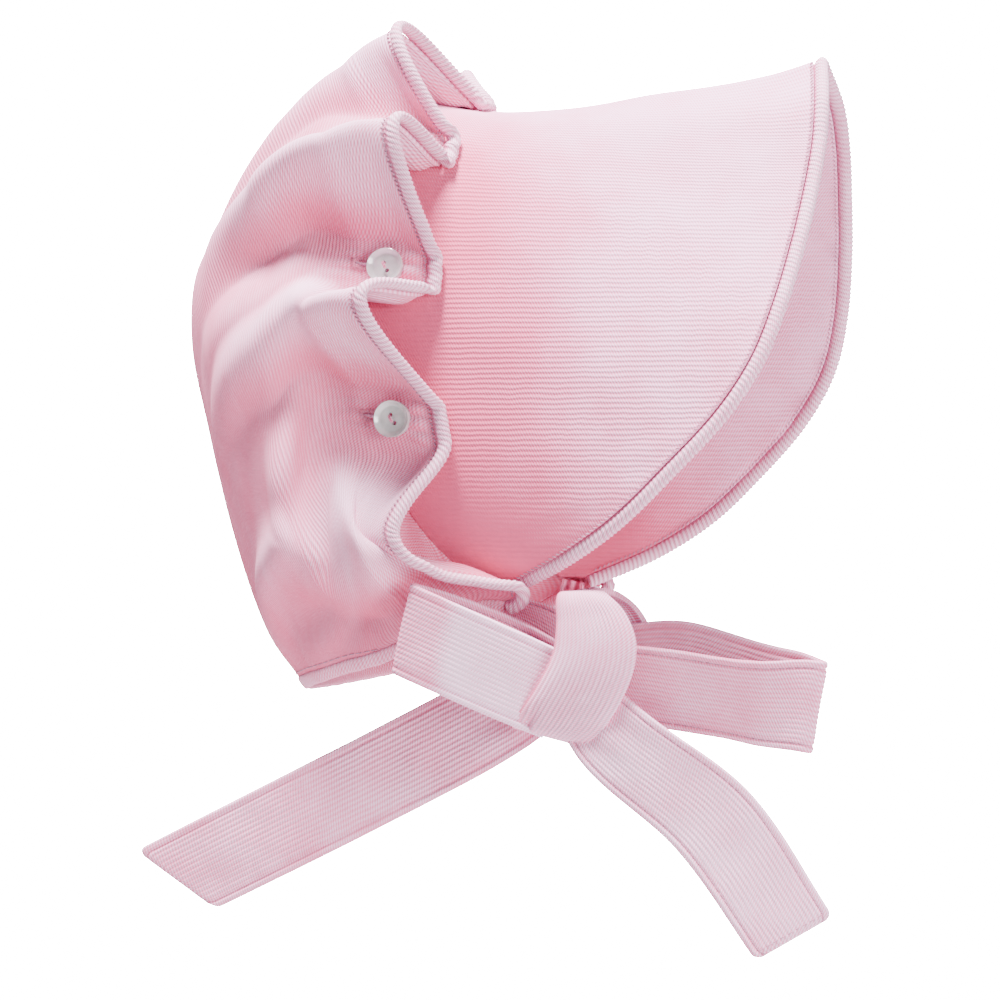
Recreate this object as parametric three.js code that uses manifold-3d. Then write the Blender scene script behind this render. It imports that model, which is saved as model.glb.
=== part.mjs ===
// Baby sun bonnet: a peaked corduroy visor, and a gathered hood buttoned on to its back, tied under the chin in a bow.
// Millimetres. +X is the front, -Y the side with the bow, +Z up.
// The origin is where the head meets the bonnet: inside the top of the visor's back edge.
import * as THREE from 'three';
import { mergeVertices } from 'three/addons/utils/BufferGeometryUtils.js';
import Module from 'manifold-3d';

const wasm = await Module();
wasm.setup();

// Driving dimensions of the visor
const archHalfWidth = 61;     // half the width of the visor's back edge
const archHeight = 161;       // from the head seat down to the visor's corners
const cornerHalfWidth = 52;   // half the distance between the two corners
const cornerReach = 38;       // how far in front of the head seat the back edge ends, at the corner
const cornerLength = 9;       // the short edge between the back edge and the front edge, where the tie is sewn
const visorLength = 142;      // from the head seat to the foremost point of the cloth
const visorLift = 11;         // how far the front peak stands above the head seat
const visorSag = 7;           // how far the top ridge dips between its ends
const visorWall = 2.4;        // two layers of corduroy

// Driving dimensions of the hood
const ruffleLap = 22;         // how far the hood's front edge lies in front of the visor's back edge
const hoodReach = 70;         // from the head seat to the furthest back
const hoodRise = 5;           // how far the hood stands above the head seat, between its gathers
const hoodDrop = 194;         // from the head seat down to the hem at the back
const hoodPuff = 14;          // how far the hood's sides stand out from the visor's half width
const hoodFootLow = 4;        // how far the hood's foot reaches below the visor's corner
const hoodFootSpread = 42;    // the side of the neck, from the hood's bottom corner back to its last bow
const neckHalfWidth = 59;     // half the width of the neck opening at the hood's last bow
const neckSlope = 0.45;       // how steeply the side of the neck falls towards the back
const hoodWall = 1.8;         // gathered corduroy
const ruffleHeight = 24;      // how far the edge stands out between two buttons
const ruffleSwing = 18;       // how far the edge draws back between two buttons
const ruffleLean = 14;        // how far a gather leans over towards the top
const gatherLength = 62;      // how far back the gathers run before they die away
const gatherDrift = 0.5;      // how far a gather's ridge climbs the arch for each millimetre it runs back
const layLength = 6;          // how far the hood lies flat behind the visor's back edge before it swells
const swellLength = 34;       // from the visor's back edge to where the hood has its full size
const foldHeight = 6;         // how far the loose folds at the back stand out
const foldWidth = 16;         // from a fold's crest to where it has died away
const archLength = 235;       // of a bow of the hood, from its top to its foot
const hoodLength = 190;       // of the hood, from the ruffle's edge to the hem at the side

// Driving dimensions of the bands, buttons and ties
const bandWidth = 5;          // rolled bands along the two front edges
const bandThickness = 3.6;
const bandGap = 0.5;          // between a band and its cloth
const hemWidth = 5;           // flat turned hem at the neck
const hemThickness = 2.6;
const buttonDiameter = 12.5;
const buttonThickness = 3;
const buttonClear = 0.5;      // under a button, between its thread and its rim
const buttonSetBack = 14;     // from the ruffle's edge to the middle of a button
const buttonholeLength = 15;
const buttonholeWidth = 3.2;
const threadDiameter = 2;     // the thread under a button
const tieWidth = 30;
const tieThickness = 2;
const sewnWidth = 8;          // the tie where it is gathered and sewn to the visor's corner
const sewnInset = 4;          // how far inside the hood the tie hangs from there
const knotLength = 55;
const knotWidth = 33;
const knotThickness = 22;
const knotLean = 18;          // degrees that the knot leans forwards from upright
const knotForward = 29;       // from the near corner of the visor to the middle of the knot
const knotDrop = 26;          // from the near corner down to the middle of the knot
const knotOut = 3;            // how far the knot stands out from the near corner
const knotFlare = 10;         // how far the knot's lower end spreads to the back
const knotGrip = 7;           // how far behind the middle of the knot the straps enter it
const nearTailLength = 155;   // from the middle of the knot to the tip, the tail that hangs to the back
const farTailLength = 113;    // the tail that hangs to the front
const backLoopLength = 54.5;   // from the middle of the knot to the end of the loop, the loop at the back
const frontLoopLength = 80;   // the loop at the front
const loopGap = 8;            // between the two layers of a loop
const loopLift = 0.04;        // how far the layer behind rises above the front one, as a share of its length
const chinSag = 7;            // how far the far strap sags under the chin
const gap = 0.3;              // between pieces that touch

// Where the buttons sit along the arch, where 0 is the top and 1 the foot. back is a share of buttonSetBack.
const buttonPlaces = [
  { name: 'button_top', along: 0, back: 0.75 },
  { name: 'button_near_high', along: -0.215, back: 1 },
  { name: 'button_near_mid', along: -0.435, back: 1 },
  { name: 'button_near_low', along: -0.675, back: 1 },
  { name: 'button_far_high', along: 0.215, back: 1 },
  { name: 'button_far_mid', along: 0.435, back: 1 },
  { name: 'button_far_low', along: 0.675, back: 1 },
];

// The visor's front edge from its peak down to its corner.
// reach is a share of visorLength, width of archHalfWidth, drop of the height from the peak to the corner.
const visorFront = [
  { at: 0.00, reach: 0.975, width: 0.00, drop: 0.00 },
  { at: 0.08, reach: 0.996, width: 0.23, drop: 0.08 },
  { at: 0.15, reach: 1.000, width: 0.35, drop: 0.16 },
  { at: 0.23, reach: 0.993, width: 0.49, drop: 0.25 },
  { at: 0.32, reach: 0.980, width: 0.66, drop: 0.35 },
  { at: 0.42, reach: 0.954, width: 0.85, drop: 0.47 },
  { at: 0.52, reach: 0.912, width: 0.98, drop: 0.58 },
  { at: 0.61, reach: 0.836, width: 1.05, drop: 0.68 },
  { at: 0.71, reach: 0.724, width: 1.09, drop: 0.78 },
  { at: 0.81, reach: 0.608, width: 1.08, drop: 0.87 },
  { at: 0.90, reach: 0.480, width: 1.00, drop: 0.94 },
];

// The dip of the visor's top ridge from back to front, as a share of visorSag
const ridgeDip = [
  { at: 0.00, dip: 0.0 },
  { at: 0.25, dip: 1.0 },
  { at: 0.60, dip: 0.85 },
  { at: 0.88, dip: 0.5 },
  { at: 1.00, dip: 0.0 },
];

// How far forward the ruffle's edge lies on the visor, as a share of the way to its front edge
const edgeLap = [
  { at: 0.00, share: 1.0, corner: 0 },
  { at: 0.25, share: 0.95, corner: 0 },
  { at: 0.50, share: 0.97, corner: 0 },
  { at: 0.73, share: 1.02, corner: 0 },
  { at: 0.88, share: 0.9, corner: 0.0 },
  { at: 0.94, share: 0.7, corner: 0.1 },
  { at: 1.00, share: 0.0, corner: 1.0 },
];

// Bows of the hood from its front edge to its hem. reach is a share of hoodReach, rise of hoodRise,
// drop of hoodDrop, puff of hoodPuff, foot of hoodFootSpread, toe of cornerReach.
// square is how boxy the bow is: 2 is an ellipse.
const hoodBows = [
  { at: 0.00, reach: 0.30, rise: 1.0, drop: 0.00, puff: 0.25, foot: 0.0, toe: 0.50, square: 2.9 },
  { at: 0.08, reach: 0.00, rise: 1.0, drop: 0.00, puff: 0.35, foot: 0.1, toe: 0.60, square: 2.9 },
  { at: 0.16, reach: -0.28, rise: 1.0, drop: -0.01, puff: 0.50, foot: 0.2, toe: 0.65, square: 2.7 },
  { at: 0.25, reach: -0.60, rise: 0.0, drop: -0.05, puff: 0.70, foot: 0.3, toe: 0.65, square: 2.6 },
  { at: 0.40, reach: -0.95, rise: 0.0, drop: -0.235, puff: 1.00, foot: 0.45, toe: 0.55, square: 2.5 },
  { at: 0.50, reach: -1.02, rise: 0.0, drop: -0.38, puff: 1.00, foot: 0.55, toe: 0.45, square: 2.4 },
  { at: 0.63, reach: -0.95, rise: 0.0, drop: -0.555, puff: 0.90, foot: 0.65, toe: 0.35, square: 2.4 },
  { at: 0.78, reach: -0.81, rise: 0.0, drop: -0.76, puff: 0.60, foot: 0.8, toe: 0.20, square: 2.3 },
  { at: 0.89, reach: -0.66, rise: 0.0, drop: -0.915, puff: 0.30, foot: 0.9, toe: 0.10, square: 2.3 },
  { at: 1.00, reach: -0.50, rise: 0.0, drop: -1.00, puff: 0.00, foot: 1.0, toe: 0.00, square: 2.3 },
];

// The gathers between the buttons. from and to are places along the arch. height is a share of ruffleHeight,
// swing of ruffleSwing, lean of ruffleLean (towards the top is positive) and reach of gatherLength.
// fall is how a gather dies away: 1 is at once from the edge, 2 is a rounded shoulder first.
const gathers = [
  { from: -1.0, to: -0.675, height: 0.75, swing: 1.2, lean: -0.5, reach: 1.0, fall: 1.8 },
  { from: -0.675, to: -0.435, height: 0.95, swing: 0.95, lean: 0.8, reach: 1.0, fall: 1.6 },
  { from: -0.435, to: -0.215, height: 0.95, swing: 0.8, lean: 1.2, reach: 1.05, fall: 1.6 },
  { from: -0.215, to: 0, height: 0.97, swing: 1.45, lean: 0.1, reach: 0.62, fall: 0.9 },
  { from: 0, to: 0.215, height: 0.55, swing: 1.3, lean: 0.1, reach: 0.6, fall: 1.0 },
  { from: 0.215, to: 0.435, height: 0.9, swing: 0.85, lean: 0.9, reach: 1.05, fall: 1.6 },
  { from: 0.435, to: 0.675, height: 0.95, swing: 0.9, lean: 0.7, reach: 1.0, fall: 1.6 },
  { from: 0.675, to: 1.0, height: 0.75, swing: 1.2, lean: -0.5, reach: 1.0, fall: 1.8 },
];

// Loose folds of the hood, each from one place to another. Arch is the place along the arch, deep the share of
// the way from the ruffle's edge to the hem, height a share of foldHeight (below zero it is a valley) and
// width a share of foldWidth.
const folds = [
  { arch: -0.6, deep: 0.34, toArch: -0.66, toDeep: 0.6, height: 0.85, width: 0.6 },
  { arch: -0.66, deep: 0.6, toArch: -0.54, toDeep: 0.88, height: 0.85, width: 0.7 },
  { arch: -0.5, deep: 0.44, toArch: -0.57, toDeep: 0.74, height: -0.5, width: 0.8 },
  { arch: -0.87, deep: 0.2, toArch: -0.77, toDeep: 0.58, height: 0.5, width: 0.6 },
  { arch: -0.84, deep: 0.7, toArch: -0.66, toDeep: 0.86, height: -0.7, width: 0.9 },
  { arch: 0.6, deep: 0.36, toArch: 0.65, toDeep: 0.7, height: 0.8, width: 0.8 },
];

// How the forms run into each other. Shares are of the way down the arch unless the comment says otherwise.
const ridgeShare = 0.28;      // from the visor's top ridge to where its dip has died away
const footShare = 0.8;        // where the hood begins to sink below the visor's corner
const looseShare = 0.75;      // where the hood's foot begins to hang free of the visor
const looseRun = 0.2;         // from there to where it is quite free
const swellShare = 0.6;       // most that the swell takes of the way from the ruffle's edge to the hem
const topShare = 0.2;         // where the gathers drift in full
const valleyShare = 0.09;     // of a gather, where its edge lies flat on either side of a button's line
const seatShare = 0.09;       // as much again, where the button itself sits
const swingFade = 2;          // how much sooner than its height a gather's swing dies away
const leanFade = 1.5;         // and its lean
const rowCrowding = 1.3;      // how much closer together the hood's rows lie at the ruffle: 1 is evenly

const clamp = (value, low, high) => Math.min(Math.max(value, low), high);
const mix = (a, b, share) => a + (b - a) * share;
const smooth = (value) => {
  const s = clamp(value, 0, 1);
  return s * s * (3 - 2 * s);
};

// Smooth curve through one column of a table
function along(rows, column, at) {
  let i = 0;
  while (i < rows.length - 2 && at > rows[i + 1].at) i += 1;
  const slope = (k) => {
    const a = rows[Math.max(k - 1, 0)];
    const b = rows[Math.min(k + 1, rows.length - 1)];
    return (b[column] - a[column]) / (b.at - a.at);
  };
  const a = rows[i];
  const b = rows[i + 1];
  const span = b.at - a.at;
  const s = (at - a.at) / span;
  const s2 = s * s;
  const s3 = s2 * s;
  return (2 * s3 - 3 * s2 + 1) * a[column] + (s3 - 2 * s2 + s) * span * slope(i)
    + (3 * s2 - 2 * s3) * b[column] + (s3 - s2) * span * slope(i + 1);
}

// A curve sampled and read back at equal shares of its length
function evenly(pointAt, samples = 64) {
  const points = [];
  const lengths = [0];
  for (let i = 0; i <= samples; i += 1) {
    points.push(pointAt(i / samples));
    if (i > 0) lengths.push(lengths[i - 1] + points[i].distanceTo(points[i - 1]));
  }
  const total = lengths[samples];
  return (share) => {
    const wanted = share * total;
    let i = 0;
    while (i < samples - 1 && wanted > lengths[i + 1]) i += 1;
    const s = (wanted - lengths[i]) / (lengths[i + 1] - lengths[i]);
    return points[i].clone().lerp(points[i + 1], s);
  };
}

// A half bow from its top to its foot: a boxy ellipse of the given height and half width
function halfBow(top, foot, halfWidth, footHalfWidth, square, forward) {
  const spine = top.clone().sub(foot);
  return evenly((s) => {
    const angle = s * Math.PI / 2;
    const height = Math.cos(angle) ** (2 / square);
    const low = 1 - height;
    const width = halfWidth * Math.sin(angle) ** (2 / square);
    const narrowed = mix(width, width * footHalfWidth / halfWidth, low ** 4);
    const point = foot.clone().addScaledVector(spine, height);
    point.x += forward * low ** 6;
    point.y = narrowed;
    return point;
  });
}

// Visor: u runs from the near corner (-1) over the top (0) to the far corner (1), v from back (0) to front (1)
const visorFrontTable = [
  ...visorFront,
  {
    at: 1,
    reach: (cornerReach + cornerLength) / visorLength,
    width: cornerHalfWidth / archHalfWidth,
    drop: 1,
  },
];
const visorBackCurve = halfBow(
  new THREE.Vector3(0, 0, visorWall / 2),
  new THREE.Vector3(0, 0, -archHeight),
  archHalfWidth,
  cornerHalfWidth,
  2.9,
  cornerReach,
);
const visorFrontCurve = evenly((s) => new THREE.Vector3(
  along(visorFrontTable, 'reach', s) * visorLength,
  along(visorFrontTable, 'width', s) * archHalfWidth,
  visorLift - along(visorFrontTable, 'drop', s) * (visorLift + archHeight),
));

function visorPoint(u, v) {
  const place = clamp(Math.abs(u), 0, 1);
  const point = visorBackCurve(place).lerp(visorFrontCurve(place), v);
  const ridge = Math.exp(-((place / ridgeShare) ** 2));
  point.z -= visorSag * ridge * along(ridgeDip, 'dip', clamp(v, 0, 1));
  point.y *= Math.sign(u) || 1;
  return point;
}

// Unit direction along u, unit direction along v and outward normal of a surface
function frameOf(surface, u, v, du = 0.004, dv = 0.004) {
  const alongU = surface(u + du, v).sub(surface(u - du, v)).normalize();
  const alongV = surface(u, v + dv).sub(surface(u, v - dv)).normalize();
  const normal = new THREE.Vector3().crossVectors(alongU, alongV).normalize();
  return { alongU, alongV, normal };
}

// v runs forwards on the visor, so its cross product points inwards and is turned round
function visorFrame(u, v) {
  const frame = frameOf(visorPoint, clamp(u, -0.99, 0.99), v);
  frame.normal.negate();
  return frame;
}

const hoodOffset = visorWall / 2 + gap + hoodWall / 2;

// A bow of the hood without its gathers, from its top (place 0) to its foot (place 1).
// The feet lie one behind the other along the side of the neck.
const bowCache = new Map();
function hoodBow(t) {
  const key = t.toFixed(5);
  if (!bowCache.has(key)) {
    const column = (name) => along(hoodBows, name, t);
    const top = new THREE.Vector3(
      column('reach') * hoodReach,
      0,
      column('rise') * hoodRise + column('drop') * hoodDrop,
    );
    const back = column('foot') * hoodFootSpread;
    const toe = column('toe') * cornerReach;
    const foot = new THREE.Vector3(
      cornerReach + cornerLength - back - toe,
      0,
      -archHeight - hoodFootLow - back * neckSlope,
    );
    bowCache.set(key, halfBow(
      top,
      foot,
      archHalfWidth + column('puff') * hoodPuff,
      mix(cornerHalfWidth + hoodOffset + 1, neckHalfWidth, column('foot')),
      column('square'),
      toe,
    ));
  }
  return bowCache.get(key);
}

// Length of the cloth from the front edge to the hem, and of the visor from back to front, at places down the arch
const placeSteps = 40;
const bowSteps = 30;
const spans = [];
for (let i = 0; i <= placeSteps; i += 1) {
  const place = i / placeSteps;
  let hood = 0;
  for (let k = 0; k < bowSteps; k += 1) {
    hood += hoodBow(k / bowSteps)(place).distanceTo(hoodBow((k + 1) / bowSteps)(place));
  }
  spans.push({ at: place, hood, visor: visorBackCurve(place).distanceTo(visorFrontCurve(place)) });
}

// How far forward on the visor the ruffle's edge lies, 0 at the back edge and 1 at the front edge
function edgeOnVisor(place) {
  const lap = along(edgeLap, 'share', place) * ruffleLap / along(spans, 'visor', place);
  return lap + along(edgeLap, 'corner', place);
}

// Hood without its gathers: t runs from the front edge (0) to the hem (1). It lies on the visor, and then swells free.
function hoodBase(u, t) {
  const place = clamp(Math.abs(u), 0, 1);
  const side = Math.sign(u) || 1;
  const depth = t * along(spans, 'hood', place);
  const visorSpan = along(spans, 'visor', place);
  const edge = edgeOnVisor(place);
  const v = edge - depth / visorSpan;
  const laid = visorPoint(u, v);
  const frame = visorFrame(u, v);
  laid.addScaledVector(frame.normal, hoodOffset);
  laid.z -= hoodFootLow * smooth((place - footShare) / (1 - footShare));
  const free = hoodBow(clamp(t, 0, 1))(place);
  free.y *= side;
  const start = (edge * visorSpan + layLength) * (1 - smooth((place - looseShare) / looseRun));
  const swell = Math.min(swellLength, swellShare * along(spans, 'hood', place));
  return laid.lerp(free, smooth((depth - start) / swell));
}

// How far a gather has risen at one place: 0 on the buttons and 1 between them
function gatherAt(u, depth) {
  const place = Math.abs(u);
  const behind = Math.max(depth - buttonSetBack - buttonDiameter, 0);
  const climb = gatherDrift * behind * smooth(place / topShare);
  const drifted = Math.min(place + climb / archLength, 1) * (Math.sign(u) || 1);
  const row = gathers.find((one) => drifted <= one.to) ?? gathers[gathers.length - 1];
  const share = clamp((drifted - row.from) / (row.to - row.from), 0, 1);
  const flat = valleyShare + seatShare * smooth(depth / (buttonSetBack - buttonDiameter / 2));
  const risen = clamp((share - flat) / (1 - 2 * flat), 0, 1);
  return { row, rise: Math.sin(risen * Math.PI) ** 2 };
}

// Height of the loose folds at one place: each is a ridge along its line, and dies away at both ends
function foldAt(u, t) {
  return folds.reduce((sum, { arch, deep, toArch, toDeep, height, width }) => {
    const run = new THREE.Vector2((toArch - arch) * archLength, (toDeep - deep) * hoodLength);
    const here = new THREE.Vector2((u - arch) * archLength, (t - deep) * hoodLength);
    const share = clamp(here.dot(run) / run.lengthSq(), 0, 1);
    const away = here.sub(run.multiplyScalar(share)).length();
    const ends = Math.sin(Math.PI * mix(0.15, 0.85, share));
    return sum + height * foldHeight * ends * Math.exp(-((away / (width * foldWidth)) ** 2));
  }, 0);
}

// Hood with its gathers, which die away towards the back
function hoodPoint(u, t) {
  const place = clamp(u, -1, 1);
  const point = hoodBase(place, t);
  const frame = frameOf(hoodBase, clamp(place, -0.98, 0.98), clamp(t, 0, 0.98));
  const depth = Math.max(t, 0) * along(spans, 'hood', Math.abs(place));
  const { row, rise } = gatherAt(place, depth);
  const height = ruffleHeight * row.height * Math.exp(-((depth / (row.reach * gatherLength)) ** row.fall));
  const swing = ruffleSwing * row.swing * Math.exp(-((depth / gatherLength * swingFade) ** 2));
  const lean = ruffleLean * row.lean * Math.exp(-((depth / gatherLength * leanFade) ** 2));
  const upwards = -Math.sign(place) || 1;
  point.addScaledVector(frame.normal, height * rise + foldAt(place, t));
  point.addScaledVector(frame.alongV, swing * rise);
  point.addScaledVector(frame.alongU, upwards * lean * rise);
  return point;
}

// Closed body from rings of vertices: each ring has as many corners, and the two ends are capped
function loft(rings) {
  const sides = rings[0].length;
  const positions = rings.flat().flatMap((p) => [p.x, p.y, p.z]);
  const index = [];
  for (let i = 0; i < rings.length - 1; i += 1) {
    for (let j = 0; j < sides; j += 1) {
      const k = (j + 1) % sides;
      const [a, b, c, d] = [i * sides + j, i * sides + k, (i + 1) * sides + k, (i + 1) * sides + j];
      index.push(a, b, c, a, c, d);
    }
  }
  const last = (rings.length - 1) * sides;
  for (let j = 1; j < sides - 1; j += 1) {
    index.push(0, j + 1, j);
    index.push(last, last + j, last + j + 1);
  }
  return outwards(positions, index);
}

// Closed wall of even thickness about a grid of points, rows by columns
function wall(grid, thickness) {
  const rows = grid.length;
  const columns = grid[0].length;
  const at = (i, j) => grid[clamp(i, 0, rows - 1)][clamp(j, 0, columns - 1)];
  const normals = grid.map((row, i) => row.map((_, j) => {
    const a = at(i + 1, j).clone().sub(at(i - 1, j));
    const b = at(i, j + 1).clone().sub(at(i, j - 1));
    return a.cross(b).normalize();
  }));
  const positions = [];
  for (const side of [0.5, -0.5]) {
    grid.forEach((row, i) => row.forEach((point, j) => {
      const moved = point.clone().addScaledVector(normals[i][j], side * thickness);
      positions.push(moved.x, moved.y, moved.z);
    }));
  }
  const under = rows * columns;
  const id = (i, j) => i * columns + j;
  const index = [];
  const face = (a, b, c, d) => index.push(a, b, c, a, c, d);
  for (let i = 0; i < rows - 1; i += 1) {
    for (let j = 0; j < columns - 1; j += 1) {
      face(id(i, j), id(i + 1, j), id(i + 1, j + 1), id(i, j + 1));
      face(under + id(i, j), under + id(i, j + 1), under + id(i + 1, j + 1), under + id(i + 1, j));
    }
  }
  for (let i = 0; i < rows - 1; i += 1) {
    const end = columns - 1;
    face(id(i, 0), under + id(i, 0), under + id(i + 1, 0), id(i + 1, 0));
    face(id(i, end), id(i + 1, end), under + id(i + 1, end), under + id(i, end));
  }
  for (let j = 0; j < columns - 1; j += 1) {
    const end = rows - 1;
    face(id(0, j), id(0, j + 1), under + id(0, j + 1), under + id(0, j));
    face(id(end, j), under + id(end, j), under + id(end, j + 1), id(end, j + 1));
  }
  return outwards(positions, index);
}

// A geometry whose faces point out, whichever way round its corners were listed
function outwards(positions, index) {
  let volume = 0;
  const at = (k) => new THREE.Vector3().fromArray(positions, k * 3);
  for (let i = 0; i < index.length; i += 3) {
    volume += at(index[i]).dot(at(index[i + 1]).cross(at(index[i + 2])));
  }
  const ordered = volume < 0 ? index.slice().reverse() : index;
  const geometry = new THREE.BufferGeometry();
  geometry.setAttribute('position', new THREE.Float32BufferAttribute(positions, 3));
  geometry.setIndex(ordered);
  return geometry;
}

const bonnet = new THREE.Group();
const corduroy = { color: 0xf0d3de, roughness: 0.9, metalness: 0 };
const piping = { color: 0xe9c3d1, roughness: 0.9, metalness: 0 };
const nylon = { color: 0xf6f2f3, roughness: 0.25, metalness: 0 };

function addPiece(name, geometry, look) {
  const mesh = new THREE.Mesh(geometry, new THREE.MeshStandardMaterial(look));
  mesh.name = name;
  bonnet.add(mesh);
}

// Grid of points of a surface at the given values of u and v
function gridOf(surface, us, vs) {
  return us.map((u) => vs.map((v) => surface(u, v)));
}

// Sections of the bands: how far out from the edge, and how far to either side, as shares of width and thickness
const rolledSection = [[0, -0.28], [0.5, -0.5], [1, -0.2], [1, 0.2], [0.5, 0.5], [0, 0.28]];
const flatSection = [[0, -0.5], [1, -0.5], [1, 0.5], [0, 0.5]];

// Band along an edge. A station has a point of the edge and the cloth's normal there, and the band lies
// to the side of the edge that is forwards when it is followed from near to far with its normal up.
function band(stations, width, thickness, section) {
  const last = stations.length - 1;
  return loft(stations.map(({ point, normal }, i) => {
    const tangent = stations[Math.min(i + 1, last)].point.clone().sub(stations[Math.max(i - 1, 0)].point);
    const away = tangent.cross(normal).normalize();
    return section.map(([out, aside]) => point.clone()
      .addScaledVector(away, bandGap + out * width)
      .addScaledVector(normal, aside * thickness));
  }));
}

// Evenly spaced values of u, from near to far
function spread(steps, from = -1, to = 1) {
  return Array.from({ length: steps + 1 }, (_, i) => mix(from, to, i / steps));
}

// A geometry as a solid that can be cut, and back
function toSolid(geometry) {
  const bare = geometry.clone();
  bare.deleteAttribute('normal');
  bare.deleteAttribute('uv');
  const merged = mergeVertices(bare, 1e-4);
  return new wasm.Manifold(new wasm.Mesh({
    numProp: 3,
    vertProperties: new Float32Array(merged.attributes.position.array),
    triVerts: new Uint32Array(merged.index.array),
  }));
}

function toGeometry(solid) {
  const mesh = solid.getMesh();
  const geometry = new THREE.BufferGeometry();
  geometry.setAttribute('position', new THREE.Float32BufferAttribute(mesh.vertProperties, 3));
  geometry.setIndex(Array.from(mesh.triVerts));
  return geometry;
}

// The visor and its rolled edge
const visorSteps = { u: 40, v: 7 };
const visorUs = spread(visorSteps.u);
addPiece('brim', wall(gridOf(visorPoint, visorUs, spread(visorSteps.v, 0, 1)), visorWall), corduroy);
addPiece('brim_edge', band(visorUs.map((u) => {
  const frame = visorFrame(u, 0.98);
  return { point: visorPoint(u, 1), normal: frame.normal };
}), bandWidth, bandThickness, rolledSection), piping);

// The buttons, each on the hood with its thread through the buttonhole to the visor
const hoodSteps = { u: 80, t: 14 };
const threadLength = hoodWall + buttonClear;
const buttonRadius = buttonDiameter / 2;
const buttonProfile = [
  [0, -threadLength],
  [threadDiameter / 2, -threadLength],
  [threadDiameter / 2, 0],
  [buttonRadius * 0.96, 0],
  [buttonRadius, buttonThickness * 0.75],
  [buttonRadius * 0.8, buttonThickness],
  [buttonRadius * 0.6, buttonThickness * 0.65],
  [0, buttonThickness * 0.65],
].map(([x, y]) => new THREE.Vector2(x, y));

const buttonholes = [];
for (const { name, along: place, back } of buttonPlaces) {
  const t = back * buttonSetBack / along(spans, 'hood', Math.abs(place));
  const frame = frameOf(hoodPoint, place, t);
  const seat = hoodPoint(place, t);
  const turn = new THREE.Matrix4().makeBasis(
    frame.alongV,
    frame.normal,
    new THREE.Vector3().crossVectors(frame.alongV, frame.normal),
  );
  const button = new THREE.LatheGeometry(buttonProfile, 10);
  button.translate(0, hoodWall / 2 + buttonClear, 0);
  button.applyMatrix4(turn);
  button.translate(seat.x, seat.y, seat.z);
  addPiece(name, button, nylon);
  const hole = new THREE.BoxGeometry(buttonholeLength, hoodWall * 4, buttonholeWidth);
  hole.translate(buttonholeLength / 2 - buttonholeWidth / 2, 0, 0);
  hole.applyMatrix4(turn);
  hole.translate(seat.x, seat.y, seat.z);
  buttonholes.push(hole);
}

// The gathered hood with its buttonholes. Its rows are closer together at the ruffle.
const hoodUs = spread(hoodSteps.u);
const hoodTs = spread(hoodSteps.t, 0, 1).map((s) => s ** rowCrowding);
let hood = toSolid(wall(gridOf(hoodPoint, hoodUs, hoodTs), hoodWall));
for (const hole of buttonholes) hood = hood.subtract(toSolid(hole));
addPiece('crown', toGeometry(hood), corduroy);

// Bands lie flush with the inside of the hood, so that they clear the visor
const hoodFrame = (u, t) => frameOf(hoodPoint, clamp(u, -0.99, 0.99), clamp(t, 0.01, 0.98), 0.01, 0.01);
addPiece('crown_edge', band(hoodUs.map((u) => {
  const frame = hoodFrame(u, 0);
  const point = hoodPoint(u, 0).addScaledVector(frame.normal, (bandThickness - hoodWall) / 2 + gap);
  return { point, normal: frame.normal };
}), bandWidth, bandThickness, rolledSection), piping);

// The hem runs back along the far side of the neck, round the back and forwards along the near side
const hemStations = [
  ...hoodTs.slice(0, -1).map((t) => ({ u: 1, t })),
  ...spread(hoodSteps.u, 1, -1).map((u) => ({ u, t: 1 })),
  ...hoodTs.slice(0, -1).reverse().map((t) => ({ u: -1, t })),
];
addPiece('crown_hem', band(hemStations.map(({ u, t }) => {
  const { normal } = hoodFrame(u, t);
  return { point: hoodPoint(u, t).addScaledVector(normal, (hemThickness - hoodWall) / 2), normal };
}), hemWidth, hemThickness, flatSection), corduroy);

// The knot: a rounded block that leans forwards
const nearCorner = visorPoint(-1, 0.5);
const farCorner = visorPoint(1, 0.5);
const knotCentre = nearCorner.clone().add(new THREE.Vector3(knotForward, -knotOut, -knotDrop));
function knotGeometry(extra) {
  const round = 2 / 2.6;
  const boxy = (value) => Math.sign(value) * Math.abs(value) ** round;
  const geometry = new THREE.SphereGeometry(1, 16, 10);
  const position = geometry.attributes.position;
  for (let i = 0; i < position.count; i += 1) {
    const up = boxy(position.getY(i));
    position.setXYZ(
      i,
      boxy(position.getX(i)) * (knotWidth / 2 + extra) - knotFlare * Math.max(-up, 0) ** 2,
      boxy(position.getZ(i)) * (knotThickness / 2 + extra),
      up * (knotLength / 2 + extra),
    );
  }
  geometry.deleteAttribute('normal');
  geometry.deleteAttribute('uv');
  const merged = mergeVertices(geometry, 1e-4);
  merged.rotateY(THREE.MathUtils.degToRad(knotLean));
  merged.translate(knotCentre.x, knotCentre.y, knotCentre.z);
  return outwards(Array.from(merged.attributes.position.array), Array.from(merged.index.array));
}
addPiece('bow_knot', knotGeometry(0), corduroy);
const roomForKnot = toSolid(knotGeometry(gap));

// Flat ribbon along a path. across(s) is its whole width as a vector.
function ribbon(pathAt, across, steps) {
  const rings = [];
  for (let i = 0; i <= steps; i += 1) {
    const s = i / steps;
    const centre = pathAt(s);
    const tangent = pathAt(Math.min(s + 0.01, 1)).sub(pathAt(Math.max(s - 0.01, 0))).normalize();
    const half = across(s).multiplyScalar(0.5);
    const out = new THREE.Vector3().crossVectors(tangent, half).setLength(tieThickness / 2);
    rings.push([
      centre.clone().add(half).add(out),
      centre.clone().sub(half).add(out),
      centre.clone().sub(half).sub(out),
      centre.clone().add(half).sub(out),
    ]);
  }
  return loft(rings);
}

// What the knot holds is cut off just outside it
function addHeld(name, geometry) {
  addPiece(name, toGeometry(toSolid(geometry).subtract(roomForKnot)), corduroy);
}

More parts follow.
